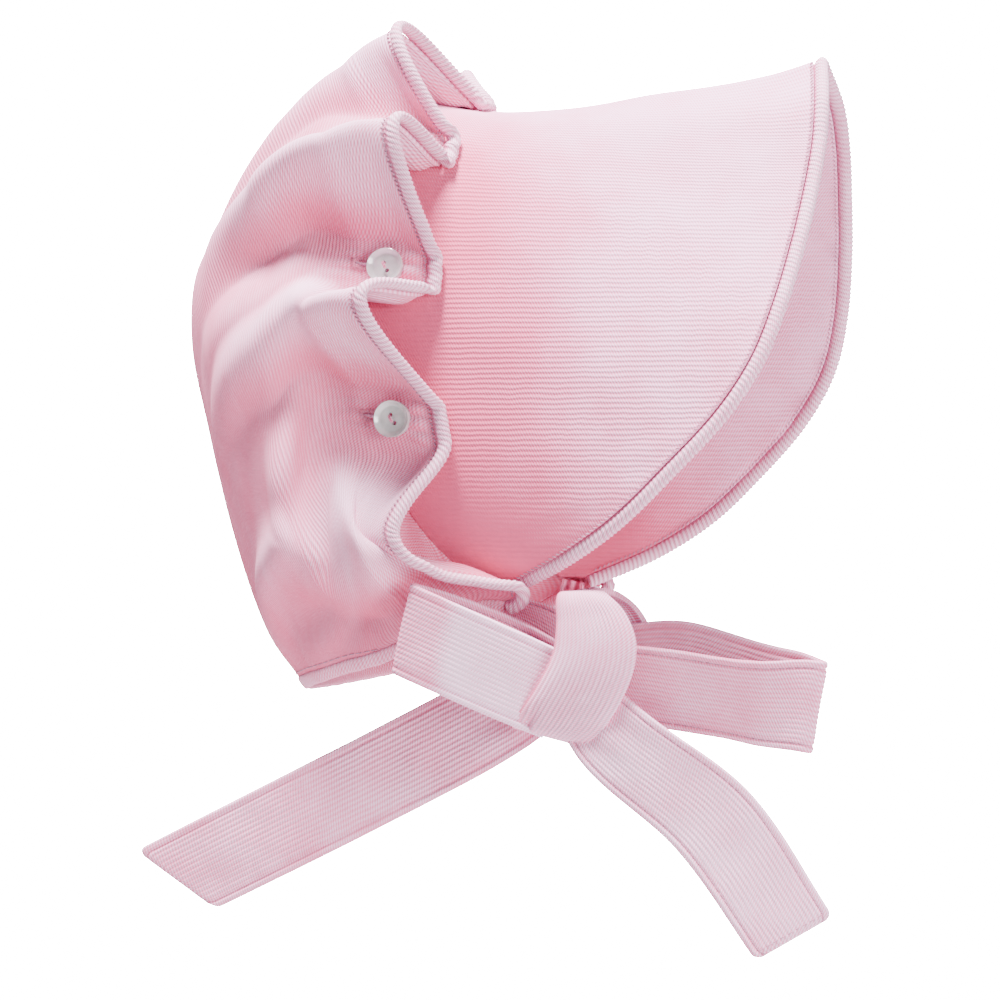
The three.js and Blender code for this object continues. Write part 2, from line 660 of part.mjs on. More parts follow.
const outOfBow = new THREE.Vector3(0, -1, 0);

// A piece of the bow leaves the knot at an angle: 0 points forwards and 90 up. Its side points upwards.
function bowAxes(angle) {
  const radians = THREE.MathUtils.degToRad(angle);
  const forth = new THREE.Vector3(Math.cos(radians), 0, Math.sin(radians));
  const side = new THREE.Vector3(-forth.z, 0, forth.x).multiplyScalar(Math.sign(forth.x));
  return { forth, side };
}

// Tails of the bow. out and sway are shares of the tail's length, turn is in degrees about its length,
// width is a share of tieWidth, and slant is how much longer its upper edge is, as a share of tieWidth.
const tails = [
  {
    name: 'bow_tail_left',
    angle: 209,
    length: nearTailLength,
    slant: 0.5,
    rows: [
      { at: 0.0, out: -0.02, sway: 0.0, turn: 0, width: 0.7 },
      { at: 0.2, out: -0.01, sway: -0.01, turn: 0, width: 0.95 },
      { at: 0.5, out: 0.01, sway: -0.005, turn: -12, width: 1.0 },
      { at: 1.0, out: 0.03, sway: 0.015, turn: -14, width: 1.0 },
    ],
  },
  {
    name: 'bow_tail_right',
    angle: 309,
    length: farTailLength,
    slant: 0.13,
    rows: [
      { at: 0.0, out: 0.02, sway: -0.05, turn: 10, width: 0.6 },
      { at: 0.25, out: 0.09, sway: -0.03, turn: 12, width: 0.9 },
      { at: 0.6, out: 0.05, sway: 0.04, turn: 16, width: 1.0 },
      { at: 1.0, out: 0.02, sway: 0.01, turn: 18, width: 1.0 },
    ],
  },
];
for (const { name, angle, length, slant, rows } of tails) {
  const { forth, side } = bowAxes(angle);
  const pathAt = (s) => knotCentre.clone()
    .addScaledVector(forth, s * length)
    .addScaledVector(outOfBow, along(rows, 'out', s) * length)
    .addScaledVector(side, along(rows, 'sway', s) * length);
  const across = (s) => {
    const turn = THREE.MathUtils.degToRad(along(rows, 'turn', s));
    return side.clone().multiplyScalar(Math.cos(turn))
      .addScaledVector(outOfBow, Math.sin(turn))
      .multiplyScalar(along(rows, 'width', s) * tieWidth)
      .addScaledVector(forth, slant * tieWidth * s ** 3);
  };
  addHeld(name, ribbon(pathAt, across, 20));
}

// Loops of the bow: out along the front layer, round the end and back along the other. start and out are how far
// out the loop stands at the knot and at its end, and sway how far it drops at the knot, as shares of its length.
const loops = [
  { name: 'bow_loop_left', angle: 168, length: backLoopLength, start: 0.03, out: 0.33, sway: 0.22 },
  { name: 'bow_loop_right', angle: 350.5, length: frontLoopLength, start: -0.05, out: 0.0, sway: 0.02 },
];
for (const { name, angle, length, start, out, sway } of loops) {
  const { forth, side } = bowAxes(angle);
  const layer = evenly((s) => {
    const round = Math.PI * s;
    const reach = Math.sin(round) ** 0.55;
    const front = Math.sign(Math.cos(round)) * Math.abs(Math.cos(round)) ** 0.55;
    const behind = (1 - front) / 2;
    return knotCentre.clone()
      .addScaledVector(forth, reach * length)
      .addScaledVector(outOfBow, front * (loopGap + tieThickness) / 2 + mix(start, out, reach) * length)
      .addScaledVector(side, (loopLift * 4 * behind * reach * (1 - reach) - sway * (1 - reach)) * length);
  }, 160);
  const across = (s) => {
    const reach = Math.sin(Math.PI * s);
    return side.clone().multiplyScalar(tieWidth * mix(0.6, 1, smooth(reach * 1.6)));
  };
  addHeld(name, ribbon(layer, across, 40));
}

// The chin strap: both ties run from the visor's corners to the knot
const straps = [
  { name: 'tie_strap_near', corner: nearCorner, sag: 0, steps: 12 },
  { name: 'tie_strap_far', corner: farCorner, sag: chinSag, steps: 24 },
];
for (const { name, corner, sag, steps } of straps) {
  const start = corner.clone().add(new THREE.Vector3(0, 0, -visorWall / 2 - gap));
  const first = corner.clone().add(new THREE.Vector3(0, -Math.sign(corner.y) * sewnInset, -sewnWidth));
  const end = knotCentre.clone().addScaledVector(outOfBow, -knotGrip);
  const middle = first.clone().lerp(end, 0.5);
  middle.z -= sag;
  const curve = new THREE.CatmullRomCurve3([start, first, middle, end]);
  const across = (s) => {
    const width = mix(sewnWidth, tieWidth * 0.7, smooth(s * 1.5));
    const tangent = curve.getTangentAt(clamp(s, 0, 1));
    const forward = new THREE.Vector3(1, 0, 0);
    return forward.addScaledVector(tangent, -forward.dot(tangent)).setLength(width);
  };
  addHeld(name, ribbon((s) => curve.getPointAt(clamp(s, 0, 1)), across, steps));
}

export default bonnet;
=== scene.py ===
"""Baby sun bonnet of pale pink fine-wale corduroy, with a peaked visor, a buttoned hood and a tied bow."""
import math

import bpy
import numpy as np
from mathutils import Matrix, Vector


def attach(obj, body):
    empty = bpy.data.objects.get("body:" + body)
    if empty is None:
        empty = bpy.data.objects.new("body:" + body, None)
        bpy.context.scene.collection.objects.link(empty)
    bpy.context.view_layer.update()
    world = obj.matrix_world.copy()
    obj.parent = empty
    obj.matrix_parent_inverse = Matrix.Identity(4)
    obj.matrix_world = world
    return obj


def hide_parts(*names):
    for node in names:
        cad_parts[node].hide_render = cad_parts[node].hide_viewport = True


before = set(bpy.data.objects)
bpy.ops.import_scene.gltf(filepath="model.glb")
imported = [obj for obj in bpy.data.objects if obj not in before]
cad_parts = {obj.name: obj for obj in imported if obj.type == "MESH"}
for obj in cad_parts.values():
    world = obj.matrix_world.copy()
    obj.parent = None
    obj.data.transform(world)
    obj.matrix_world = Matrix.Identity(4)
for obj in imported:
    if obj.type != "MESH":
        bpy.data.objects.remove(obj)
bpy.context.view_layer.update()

MM = 0.001

# The photograph's view: level, and a little to the front of the side with the bow
VIEW_AZIMUTH = 15.5
VIEW_DISTANCE = 1.4
VIEW_TARGET = Vector((0.030, 0.0, -0.134))
VIEW_LENS = 148.2


def add_camera():
    azimuth = math.radians(VIEW_AZIMUTH)
    back = Vector((math.sin(azimuth), -math.cos(azimuth), 0.0))
    data = bpy.data.cameras.new("camera")
    data.lens = VIEW_LENS
    data.sensor_width = 36.0
    camera = bpy.data.objects.new("camera", data)
    camera.location = VIEW_TARGET + back * VIEW_DISTANCE
    camera.rotation_euler = back.to_track_quat("Z", "Y").to_euler()
    bpy.context.scene.collection.objects.link(camera)
    bpy.context.scene.camera = camera


add_camera()

# Sizes in millimetres, the same as the solids have
ARCH_HALF_WIDTH = 61
ARCH_HEIGHT = 161
CORNER_HALF_WIDTH = 52
CORNER_REACH = 38
CORNER_LENGTH = 9
VISOR_LENGTH = 142
VISOR_LIFT = 11
VISOR_SAG = 7
VISOR_WALL = 2.4
RUFFLE_LAP = 22
HOOD_REACH = 70
HOOD_RISE = 5
HOOD_DROP = 194
HOOD_PUFF = 14
HOOD_FOOT_LOW = 4
HOOD_FOOT_SPREAD = 42
NECK_HALF_WIDTH = 59
NECK_SLOPE = 0.45
HOOD_WALL = 1.8
RUFFLE_HEIGHT = 24
RUFFLE_SWING = 18
RUFFLE_LEAN = 14
GATHER_LENGTH = 62
GATHER_DRIFT = 0.5
SWELL_LENGTH = 34
LAY_LENGTH = 6
FOLD_HEIGHT = 6
FOLD_WIDTH = 16
BAND_WIDTH = 5
BAND_THICKNESS = 3.6
HEM_WIDTH = 5
HEM_THICKNESS = 2.6
BUTTON_DIAMETER = 12.5
BUTTON_THICKNESS = 3
BUTTON_CLEAR = 0.5
BUTTON_SET_BACK = 14
BUTTONHOLE_SHOWN = 10.5
TIE_WIDTH = 30
TIE_THICKNESS = 2
SEWN_WIDTH = 8
SEWN_INSET = 4
KNOT_LENGTH = 55
KNOT_THICKNESS = 22
KNOT_FORWARD = 29
KNOT_DROP = 26
KNOT_OUT = 3
KNOT_GRIP = 7
NEAR_TAIL_LENGTH = 155
FAR_TAIL_LENGTH = 113
BACK_LOOP_LENGTH = 54.5
FRONT_LOOP_LENGTH = 80
LOOP_GAP = 8
LOOP_LIFT = 0.04
CHIN_SAG = 7
GAP = 0.3
ARCH_LENGTH = 235
HOOD_LENGTH = 190

# The cloth
WALE = 1.65          # from one rib of the corduroy to the next
FINE_WALE = 1.3      # the same on the hood, where the cloth is eased together
WALE_HEIGHT = 0.11   # how far a rib stands up where it is modelled
TUFT = 0.95          # from one tuft of the pile to the next along a rib
STITCH = 2.6         # length of one stitch
THREAD = 0.42        # thickness of the sewing thread
STITCH_INSET = 2.6   # from a tie's edge to its line of stitches
HALF_PLEAT = 0.9     # half the height of the creases between a button and the ruffle's edge
PLEAT_WIDTH = 4.6    # from one of those creases to the next
PLEAT_ROOM = 1.1     # how much further out a button stands here than on the solids, to clear the creases
VALLEY_DEPTH = 2.2   # how far the hood sinks behind a button
VALLEY_START = 24    # how far behind the ruffle's edge that begins
HOLE_WIDTH = 1.5     # of each hole in a button
HOLE_PITCH = 3       # from one hole to the other
BUTTON_TURN = 35     # degrees that the row of holes is turned from the ruffle's edge


def table(columns, rows):
    """A short table as named columns."""
    return {name: np.array([row[i] for row in rows], float) for i, name in enumerate(columns.split())}


# The visor's front edge from its peak down to its corner: shares of its length, half width and height
VISOR_FRONT = table("at reach width drop", [
    (0.00, 0.975, 0.00, 0.00),
    (0.08, 0.996, 0.23, 0.08),
    (0.15, 1.000, 0.35, 0.16),
    (0.23, 0.993, 0.49, 0.25),
    (0.32, 0.980, 0.66, 0.35),
    (0.42, 0.954, 0.85, 0.47),
    (0.52, 0.912, 0.98, 0.58),
    (0.61, 0.836, 1.05, 0.68),
    (0.71, 0.724, 1.09, 0.78),
    (0.81, 0.608, 1.08, 0.87),
    (0.90, 0.480, 1.00, 0.94),
    (1.00, (CORNER_REACH + CORNER_LENGTH) / VISOR_LENGTH, CORNER_HALF_WIDTH / ARCH_HALF_WIDTH, 1.00),
])
RIDGE_DIP = table("at dip", [(0, 0), (0.25, 1), (0.6, 0.85), (0.88, 0.5), (1, 0)])
EDGE_LAP = table("at share corner", [
    (0.00, 1.00, 0.0),
    (0.25, 0.95, 0.0),
    (0.50, 0.97, 0.0),
    (0.73, 1.02, 0.0),
    (0.88, 0.90, 0.0),
    (0.94, 0.70, 0.1),
    (1.00, 0.00, 1.0),
])
HOOD_BOWS = table("at reach rise drop puff foot toe square", [
    (0.00, 0.30, 1.0, 0.00, 0.25, 0.00, 0.50, 2.9),
    (0.08, 0.00, 1.0, 0.00, 0.35, 0.10, 0.60, 2.9),
    (0.16, -0.28, 1.0, -0.01, 0.50, 0.20, 0.65, 2.7),
    (0.25, -0.60, 0.0, -0.05, 0.70, 0.30, 0.65, 2.6),
    (0.40, -0.95, 0.0, -0.235, 1.00, 0.45, 0.55, 2.5),
    (0.50, -1.02, 0.0, -0.38, 1.00, 0.55, 0.45, 2.4),
    (0.63, -0.95, 0.0, -0.555, 0.90, 0.65, 0.35, 2.4),
    (0.78, -0.81, 0.0, -0.76, 0.60, 0.80, 0.20, 2.3),
    (0.89, -0.66, 0.0, -0.915, 0.30, 0.90, 0.10, 2.3),
    (1.00, -0.50, 0.0, -1.00, 0.00, 1.00, 0.00, 2.3),
])
# Where the buttons sit along the arch, and how far back, as a share of their usual distance
BUTTON_PLACES = {
    "button_top": (0, 0.75),
    "button_near_high": (-0.215, 1),
    "button_near_mid": (-0.435, 1),
    "button_near_low": (-0.675, 1),
    "button_far_high": (0.215, 1),
    "button_far_mid": (0.435, 1),
    "button_far_low": (0.675, 1),
}
# The gathers between the buttons, with shares of the ruffle's height, swing, lean and length. fall is how a
# gather dies away: 1 is at once from the edge, 2 is a rounded shoulder first.
GATHERS = table("start end height swing lean reach fall", [
    (-1.000, -0.675, 0.75, 1.20, -0.5, 1.00, 1.8),
    (-0.675, -0.435, 0.95, 0.95, 0.8, 1.00, 1.6),
    (-0.435, -0.215, 0.95, 0.80, 1.2, 1.05, 1.6),
    (-0.215, 0.000, 0.97, 1.45, 0.1, 0.62, 0.9),
    (0.000, 0.215, 0.55, 0.95, 0.1, 0.60, 1.0),
    (0.215, 0.435, 0.90, 0.85, 0.9, 1.05, 1.6),
    (0.435, 0.675, 0.95, 0.90, 0.7, 1.00, 1.6),
    (0.675, 1.000, 0.75, 1.20, -0.5, 1.00, 1.8),
])
# Loose folds of the hood from one place to another, with shares of a fold's height and width. A hollow's
# height is below nought.
FOLDS = table("arch deep to_arch to_deep height width", [
    (-0.60, 0.34, -0.66, 0.60, 0.85, 0.6),
    (-0.66, 0.60, -0.54, 0.88, 0.85, 0.7),
    (-0.50, 0.44, -0.57, 0.74, -0.15, 0.8),
    (-0.87, 0.20, -0.77, 0.58, 0.35, 0.75),
    (-0.84, 0.70, -0.66, 0.86, -0.70, 0.9),
    (0.60, 0.36, 0.65, 0.70, 0.80, 0.8),
    (-0.34, 0.08, -0.30, 0.22, 0.55, 0.6),
    (-0.30, 0.20, -0.20, 0.38, 0.65, 0.7),
    (-0.40, 0.12, -0.34, 0.26, -0.55, 0.6),
    (-0.34, 0.24, -0.25, 0.38, -0.60, 0.7),
    (-0.50, 0.12, -0.46, 0.26, 0.55, 0.6),
    (-0.46, 0.24, -0.33, 0.44, 0.70, 0.7),
    (-0.66, 0.22, -0.62, 0.30, -0.40, 0.6),
    (-0.68, 0.40, -0.80, 0.24, 0.45, 1.1),
    (-0.80, 0.52, -0.78, 0.74, -0.35, 0.9),
])


def mix(a, b, share):
    return a + (b - a) * share


def smooth(value):
    s = np.clip(value, 0, 1)
    return s * s * (3 - 2 * s)


def unit(vectors):
    return vectors / (np.linalg.norm(vectors, axis=-1, keepdims=True) + 1e-12)


def lengths_along(points):
    """The distance along a path to each of its points."""
    return np.concatenate([[0], np.cumsum(np.linalg.norm(np.diff(points, axis=0), axis=1))])


def along(rows, column, at):
    """Smooth curve through one column of a table."""
    x, y = rows["at"], rows[column]
    last = len(x) - 1
    i = np.searchsorted(x[1:-1], at, side="left")
    before = np.maximum(np.arange(last + 1) - 1, 0)
    after = np.minimum(np.arange(last + 1) + 1, last)
    slope = (y[after] - y[before]) / (x[after] - x[before])
    span = x[i + 1] - x[i]
    s = (at - x[i]) / span
    s2, s3 = s * s, s * s * s
    start = (2 * s3 - 3 * s2 + 1) * y[i] + (s3 - 2 * s2 + s) * span * slope[i]
    return start + (3 * s2 - 2 * s3) * y[i + 1] + (s3 - s2) * span * slope[i + 1]


def evenly(points):
    """A curve that is read back at equal shares of its length."""
    lengths = lengths_along(points)
    return lengths / lengths[-1], points


def read(curve, share):
    at, points = curve
    return np.stack([np.interp(share, at, points[:, k]) for k in range(3)], axis=-1)


def half_bow(top, foot, half_width, foot_half_width, square, forward):
    """A half bow from its top to its foot: a boxy ellipse of the given height and half width."""
    angle = np.linspace(0, math.pi / 2, 400)
    height = np.clip(np.cos(angle), 0, 1) ** (2 / square)
    low = 1 - height
    width = half_width * np.sin(angle) ** (2 / square)
    points = foot + np.outer(height, np.subtract(top, foot))
    points[:, 0] += forward * low ** 6
    points[:, 1] = mix(width, width * foot_half_width / half_width, low ** 4)
    return evenly(points)


# The visor: u runs from the near corner (-1) over the top to the far corner (1), v from back (0) to front (1)
visor_back = half_bow(
    (0, 0, VISOR_WALL / 2), (0, 0, -ARCH_HEIGHT), ARCH_HALF_WIDTH, CORNER_HALF_WIDTH, 2.9, CORNER_REACH)
front_at = np.linspace(0, 1, 400)
visor_front = evenly(np.stack([
    along(VISOR_FRONT, "reach", front_at) * VISOR_LENGTH,
    along(VISOR_FRONT, "width", front_at) * ARCH_HALF_WIDTH,
    VISOR_LIFT - along(VISOR_FRONT, "drop", front_at) * (VISOR_LIFT + ARCH_HEIGHT),
], axis=-1))


def visor_point(u, v):
    place = np.clip(np.abs(u), 0, 1)
    points = mix(read(visor_back, place), read(visor_front, place), np.asarray(v)[..., None])
    ridge = np.exp(-((place / 0.28) ** 2))
    points[..., 2] -= VISOR_SAG * ridge * along(RIDGE_DIP, "dip", np.clip(v, 0, 1))
    points[..., 1] *= np.where(u < 0, -1, 1)
    return points


def visor_normal(u, v, step=0.004):
    inner = np.clip(u, -0.99, 0.99)
    along_u = visor_point(inner + step, v) - visor_point(inner - step, v)
    along_v = visor_point(inner, v + step) - visor_point(inner, v - step)
    return unit(-np.cross(along_u, along_v))


HOOD_OFFSET = VISOR_WALL / 2 + GAP + HOOD_WALL / 2


def hood_bow(t):
    """A bow of the hood without its gathers, from its top to its foot."""
    row = {name: float(along(HOOD_BOWS, name, np.array(t))) for name in HOOD_BOWS if name != "at"}
    back = row["foot"] * HOOD_FOOT_SPREAD
    toe = row["toe"] * CORNER_REACH
    return half_bow(
        (row["reach"] * HOOD_REACH, 0, row["rise"] * HOOD_RISE + row["drop"] * HOOD_DROP),
        (CORNER_REACH + CORNER_LENGTH - back - toe, 0, -ARCH_HEIGHT - HOOD_FOOT_LOW - back * NECK_SLOPE),
        ARCH_HALF_WIDTH + row["puff"] * HOOD_PUFF,
        mix(CORNER_HALF_WIDTH + HOOD_OFFSET + 1, NECK_HALF_WIDTH, row["foot"]),
        row["square"],
        toe,
    )


span_places = np.linspace(0, 1, 41)
bows = np.stack([read(hood_bow(k / 30), span_places) for k in range(31)])
SPANS = {
    "at": span_places,
    "hood": np.linalg.norm(np.diff(bows, axis=0), axis=2).sum(0),
    "visor": np.linalg.norm(read(visor_back, span_places) - read(visor_front, span_places), axis=1),
}


def edge_on_visor(place):
    return along(EDGE_LAP, "share", place) * RUFFLE_LAP / along(SPANS, "visor", place) + along(
        EDGE_LAP, "corner", place)


def hood_base(us, ts):
    """The hood without its gathers on a grid. It lies on the visor, and then swells free."""
    u, t = np.meshgrid(us, ts, indexing="ij")
    place = np.abs(u)
    depth = t * along(SPANS, "hood", place)
    visor_span = along(SPANS, "visor", place)
    edge = edge_on_visor(place)
    v = edge - depth / visor_span
    laid = visor_point(u, v) + visor_normal(u, v) * HOOD_OFFSET
    laid[..., 2] -= HOOD_FOOT_LOW * smooth((place - 0.8) / 0.2)
    free = np.stack([read(hood_bow(one), np.abs(us)) for one in ts], axis=1)
    free[..., 1] *= np.where(u < 0, -1, 1)
    start = (edge * visor_span + LAY_LENGTH) * (1 - smooth((place - 0.75) / 0.2))
    swell = np.minimum(SWELL_LENGTH, 0.6 * along(SPANS, "hood", place))
    return mix(laid, free, smooth((depth - start) / swell)[..., None]), u, t, depth


def fold_height(u, t):
    total = np.zeros_like(u)
    for arch, deep, to_arch, to_deep, height, width in zip(*FOLDS.values()):
        run = np.array([(to_arch - arch) * ARCH_LENGTH, (to_deep - deep) * HOOD_LENGTH])
        here = np.stack([(u - arch) * ARCH_LENGTH, (t - deep) * HOOD_LENGTH], axis=-1)
        share = np.clip(here @ run / (run @ run), 0, 1)
        away = np.linalg.norm(here - share[..., None] * run, axis=-1)
        ends = np.sin(math.pi * mix(0.15, 0.85, share))
        total += height * FOLD_HEIGHT * ends * np.exp(-((away / (width * FOLD_WIDTH)) ** 2))
    return total


def seeded_waves(x, y, count, shortest, longest, seed):
    """Soft unevenness from a few crossing waves, between -1 and 1, over a surface measured in millimetres."""
    pick = np.random.default_rng(seed)
    total = np.zeros_like(x)
    for _ in range(count):
        wave = pick.uniform(shortest, longest)
        heading = pick.uniform(0, math.pi)
        phase = pick.uniform(0, 6.28)
        total += np.sin(2 * math.pi * (x * math.cos(heading) + y * math.sin(heading)) / wave + phase)
    return total / count


def button_pleats(u, depth):
    """Small creases from each button to the ruffle's edge, where the buttonhole pulls at the cloth."""
    total = np.zeros_like(u)
    for place, share in BUTTON_PLACES.values():
        aside = (u - place) * ARCH_LENGTH
        before = share * BUTTON_SET_BACK - depth
        fan = aside / (1 + 0.035 * np.clip(before, 0, None))
        strength = smooth((before - 2) / 6) * np.exp(-((fan / 6.5) ** 2))
        behind = 0.5 * smooth((-before - 6) / 5) * np.exp(-((aside / 7) ** 2))
        behind = behind * np.exp(-(((before + 12) / 10) ** 2))
        crease = 1 + np.cos(2 * math.pi * fan / PLEAT_WIDTH + 0.8)
        total += HALF_PLEAT * smooth((depth - 1.5) / 4) * (strength + behind) * crease
    return total


class Surface:
    """A grid of points over u and t with normals, read back at any place."""

    def __init__(self, us, ts, points):
        self.us, self.ts, self.points = us, ts, points
        self.along_u = unit(np.gradient(points, us, axis=0))
        self.along_t = unit(np.gradient(points, ts, axis=1))
        self.normals = unit(np.cross(self.along_u, self.along_t))

    def read(self, grid, u, t):
        x = np.clip(np.interp(u, self.us, np.arange(len(self.us))), 0, len(self.us) - 1.001)
        y = np.clip(np.interp(t, self.ts, np.arange(len(self.ts))), 0, len(self.ts) - 1.001)
        i, j = x.astype(int), y.astype(int)
        a, b = (x - i)[..., None], (y - j)[..., None]
        low = mix(grid[i, j], grid[i + 1, j], a)
        return mix(low, mix(grid[i, j + 1], grid[i + 1, j + 1], a), b)

    def point(self, u, t):
        return self.read(self.points, np.asarray(u, float), np.asarray(t, float))

    def normal(self, u, t):
        return unit(self.read(self.normals, np.asarray(u, float), np.asarray(t, float)))


def hood_surface(us, ts):
    base, u, t, depth = hood_base(us, ts)
    plain = Surface(us, ts, base)
    place = np.abs(u)
    behind = np.maximum(depth - BUTTON_SET_BACK - BUTTON_DIAMETER, 0)
    climb = GATHER_DRIFT * mix(0.6, 1.2, smooth((place - 0.25) / 0.3)) * behind * smooth(place / 0.2)
    drifted = np.minimum(place + climb / ARCH_LENGTH, 1) * np.where(u < 0, -1, 1)
    row = np.clip(np.searchsorted(GATHERS["end"], drifted, side="left"), 0, len(GATHERS["end"]) - 1)
    share = np.clip((drifted - GATHERS["start"][row]) / (GATHERS["end"][row] - GATHERS["start"][row]), 0, 1)
    flat = 0.09 + 0.09 * smooth(depth / (BUTTON_SET_BACK - BUTTON_DIAMETER / 2))
    risen = np.clip((share - flat) / (1 - 2 * flat), 0, 1)
    rise = np.sin(risen * math.pi) ** 2
    reach = depth / GATHER_LENGTH
    dying = np.exp(-((reach / GATHERS["reach"][row]) ** GATHERS["fall"][row]))
    height = RUFFLE_HEIGHT * GATHERS["height"][row] * dying
    swing = RUFFLE_SWING * GATHERS["swing"][row] * np.exp(-((reach * 2) ** 2))
    lean = RUFFLE_LEAN * GATHERS["lean"][row] * np.exp(-((reach * 1.5) ** 2))
    upwards = np.where(u > 0, -1, 1)
    # The cloth sinks in a soft valley behind each button, between two gathers
    valley = (1 - rise) ** 3 * smooth((depth - VALLEY_START) / 16) * np.exp(-((depth / 95) ** 2))
    relief = 1.15 * fold_height(u, t) + button_pleats(u, depth) - VALLEY_DEPTH * valley
    relief += 0.5 * seeded_waves(u * ARCH_LENGTH, depth, 9, 14, 42, 5) * smooth(depth / BUTTON_SET_BACK)
    points = base + plain.normals * (height * rise + relief)[..., None]
    points += plain.along_t * (swing * rise)[..., None]
    points += plain.along_u * (upwards * lean * rise)[..., None]
    surface = Surface(us, ts, points)
    surface.raised = height * rise + relief
    return surface


def grid_quads(rows, columns, ring):
    """The rows and columns of the quads on a grid of points, and their corners as numbers of points."""
    i, j = np.meshgrid(np.arange(rows - 1), np.arange(columns if ring else columns - 1), indexing="ij")
    here, beside = i * columns + j, i * columns + (j + 1) % columns
    return i, j, np.stack([here, here + columns, beside + columns, beside], axis=-1)


def new_piece(name, points, faces):
    """A smooth piece from points in millimetres."""
    mesh = bpy.data.meshes.new(name)
    mesh.from_pydata((points.reshape(-1, 3) * MM).tolist(), [], faces)
    mesh.polygons.foreach_set("use_smooth", np.ones(len(mesh.polygons), bool))
    piece = bpy.data.objects.new(name, mesh)
    bpy.context.scene.collection.objects.link(piece)
    return piece


def grid_mesh(name, points, uv, painted_shading, ring=False, caps=False):
    """A mesh on a grid of points, with a UV for each corner and the painted light and shade at each point.
    With ring, its columns close."""
    rows, columns = points.shape[:2]
    i, j, quads = grid_quads(rows, columns, ring)
    faces = quads.reshape(-1, 4).tolist()
    corners = np.stack([uv[i, j], uv[i + 1, j], uv[i + 1, j + 1], uv[i, j + 1]], axis=2).reshape(-1, 2)
    if caps:
        faces.append(list(range(columns)))
        faces.append([(rows - 1) * columns + one for one in range(columns)][::-1])
        corners = np.concatenate([corners, uv[0, :columns], uv[-1, :columns][::-1]])
    piece = new_piece(name, points, faces)
    layer = piece.data.uv_layers.new(name="cloth")
    layer.data.foreach_set("uv", corners.astype(np.float32).ravel())
    # This attribute paints light and shade into the cloth's colour
    painted_shading_layer = piece.data.attributes.new("painted_shading", "FLOAT", "POINT")
    painted_shading_layer.data.foreach_set("value", np.broadcast_to(painted_shading, (rows, columns)).astype(np.float32).ravel())
    piece.data.update()
    return piece


def deselect_all():
    for one in bpy.context.selected_objects:
        one.select_set(False)


def make_active(piece):
    deselect_all()
    piece.select_set(True)
    bpy.context.view_layer.objects.active = piece


def apply_modifier(piece, kind, name, **settings):
    modifier = piece.modifiers.new(name, kind)
    for key, value in settings.items():
        setattr(modifier, key, value)
    make_active(piece)
    bpy.ops.object.modifier_apply(modifier=name)


def face_outwards(piece, merge=False):
    """Turns all faces outwards. With merge, points that lie on one another are joined first."""
    make_active(piece)
    bpy.ops.object.mode_set(mode="EDIT")
    bpy.ops.mesh.select_all(action="SELECT")
    if merge:
        bpy.ops.mesh.remove_doubles(threshold=0.00001)
    bpy.ops.mesh.normals_make_consistent(inside=False)
    bpy.ops.object.mode_set(mode="OBJECT")


def linear(hex_colour):
    """An sRGB hex colour as a linear one."""
    parts = [int(hex_colour[i:i + 2], 16) / 255 for i in (1, 3, 5)]
    return [p / 12.92 if p <= 0.04045 else ((p + 0.055) / 1.055) ** 2.4 for p in parts] + [1.0]


def add_node(owner, kind, links=None, **settings):
    """Adds a shader node to a material or the world, with its settings, its socket values and its links. A
    link is a socket, a node, whose first output is taken, or a number."""
    node = owner.node_tree.nodes.new("ShaderNode" + kind)
    for key, value in settings.items():
        if hasattr(node, key):
            setattr(node, key, value)
        else:
            node.inputs[key.replace("_", " ")].default_value = value
    for socket, source in (links or {}).items():
        if isinstance(source, (int, float)):
            node.inputs[socket].default_value = source
        else:
            output = source.outputs[0] if isinstance(source, bpy.types.Node) else source
            owner.node_tree.links.new(output, node.inputs[socket])
    return node


def new_material(name):
    material = bpy.data.materials.new(name)
    material.use_nodes = True
    return material, material.node_tree.nodes["Principled BSDF"]


def set_shader(material, shader, colour, bump, **values):
    """Gives the shader its colour and bump, and the constant values of its own sockets."""
    material.node_tree.links.new(colour.outputs["Color"], shader.inputs["Base Color"])
    material.node_tree.links.new(bump.outputs["Normal"], shader.inputs["Normal"])
    for key, value in values.items():
        shader.inputs[key.replace("_", " ")].default_value = value
    return material


def set_ramp(ramp, *stops):
    """Gives a colour ramp its stops, each a position and a hex colour."""
    elements = ramp.color_ramp.elements
    while len(elements) < len(stops):
        elements.new(0.5)
    for element, (position, colour) in zip(elements, stops):
        element.position = position
        element.color = linear(colour)


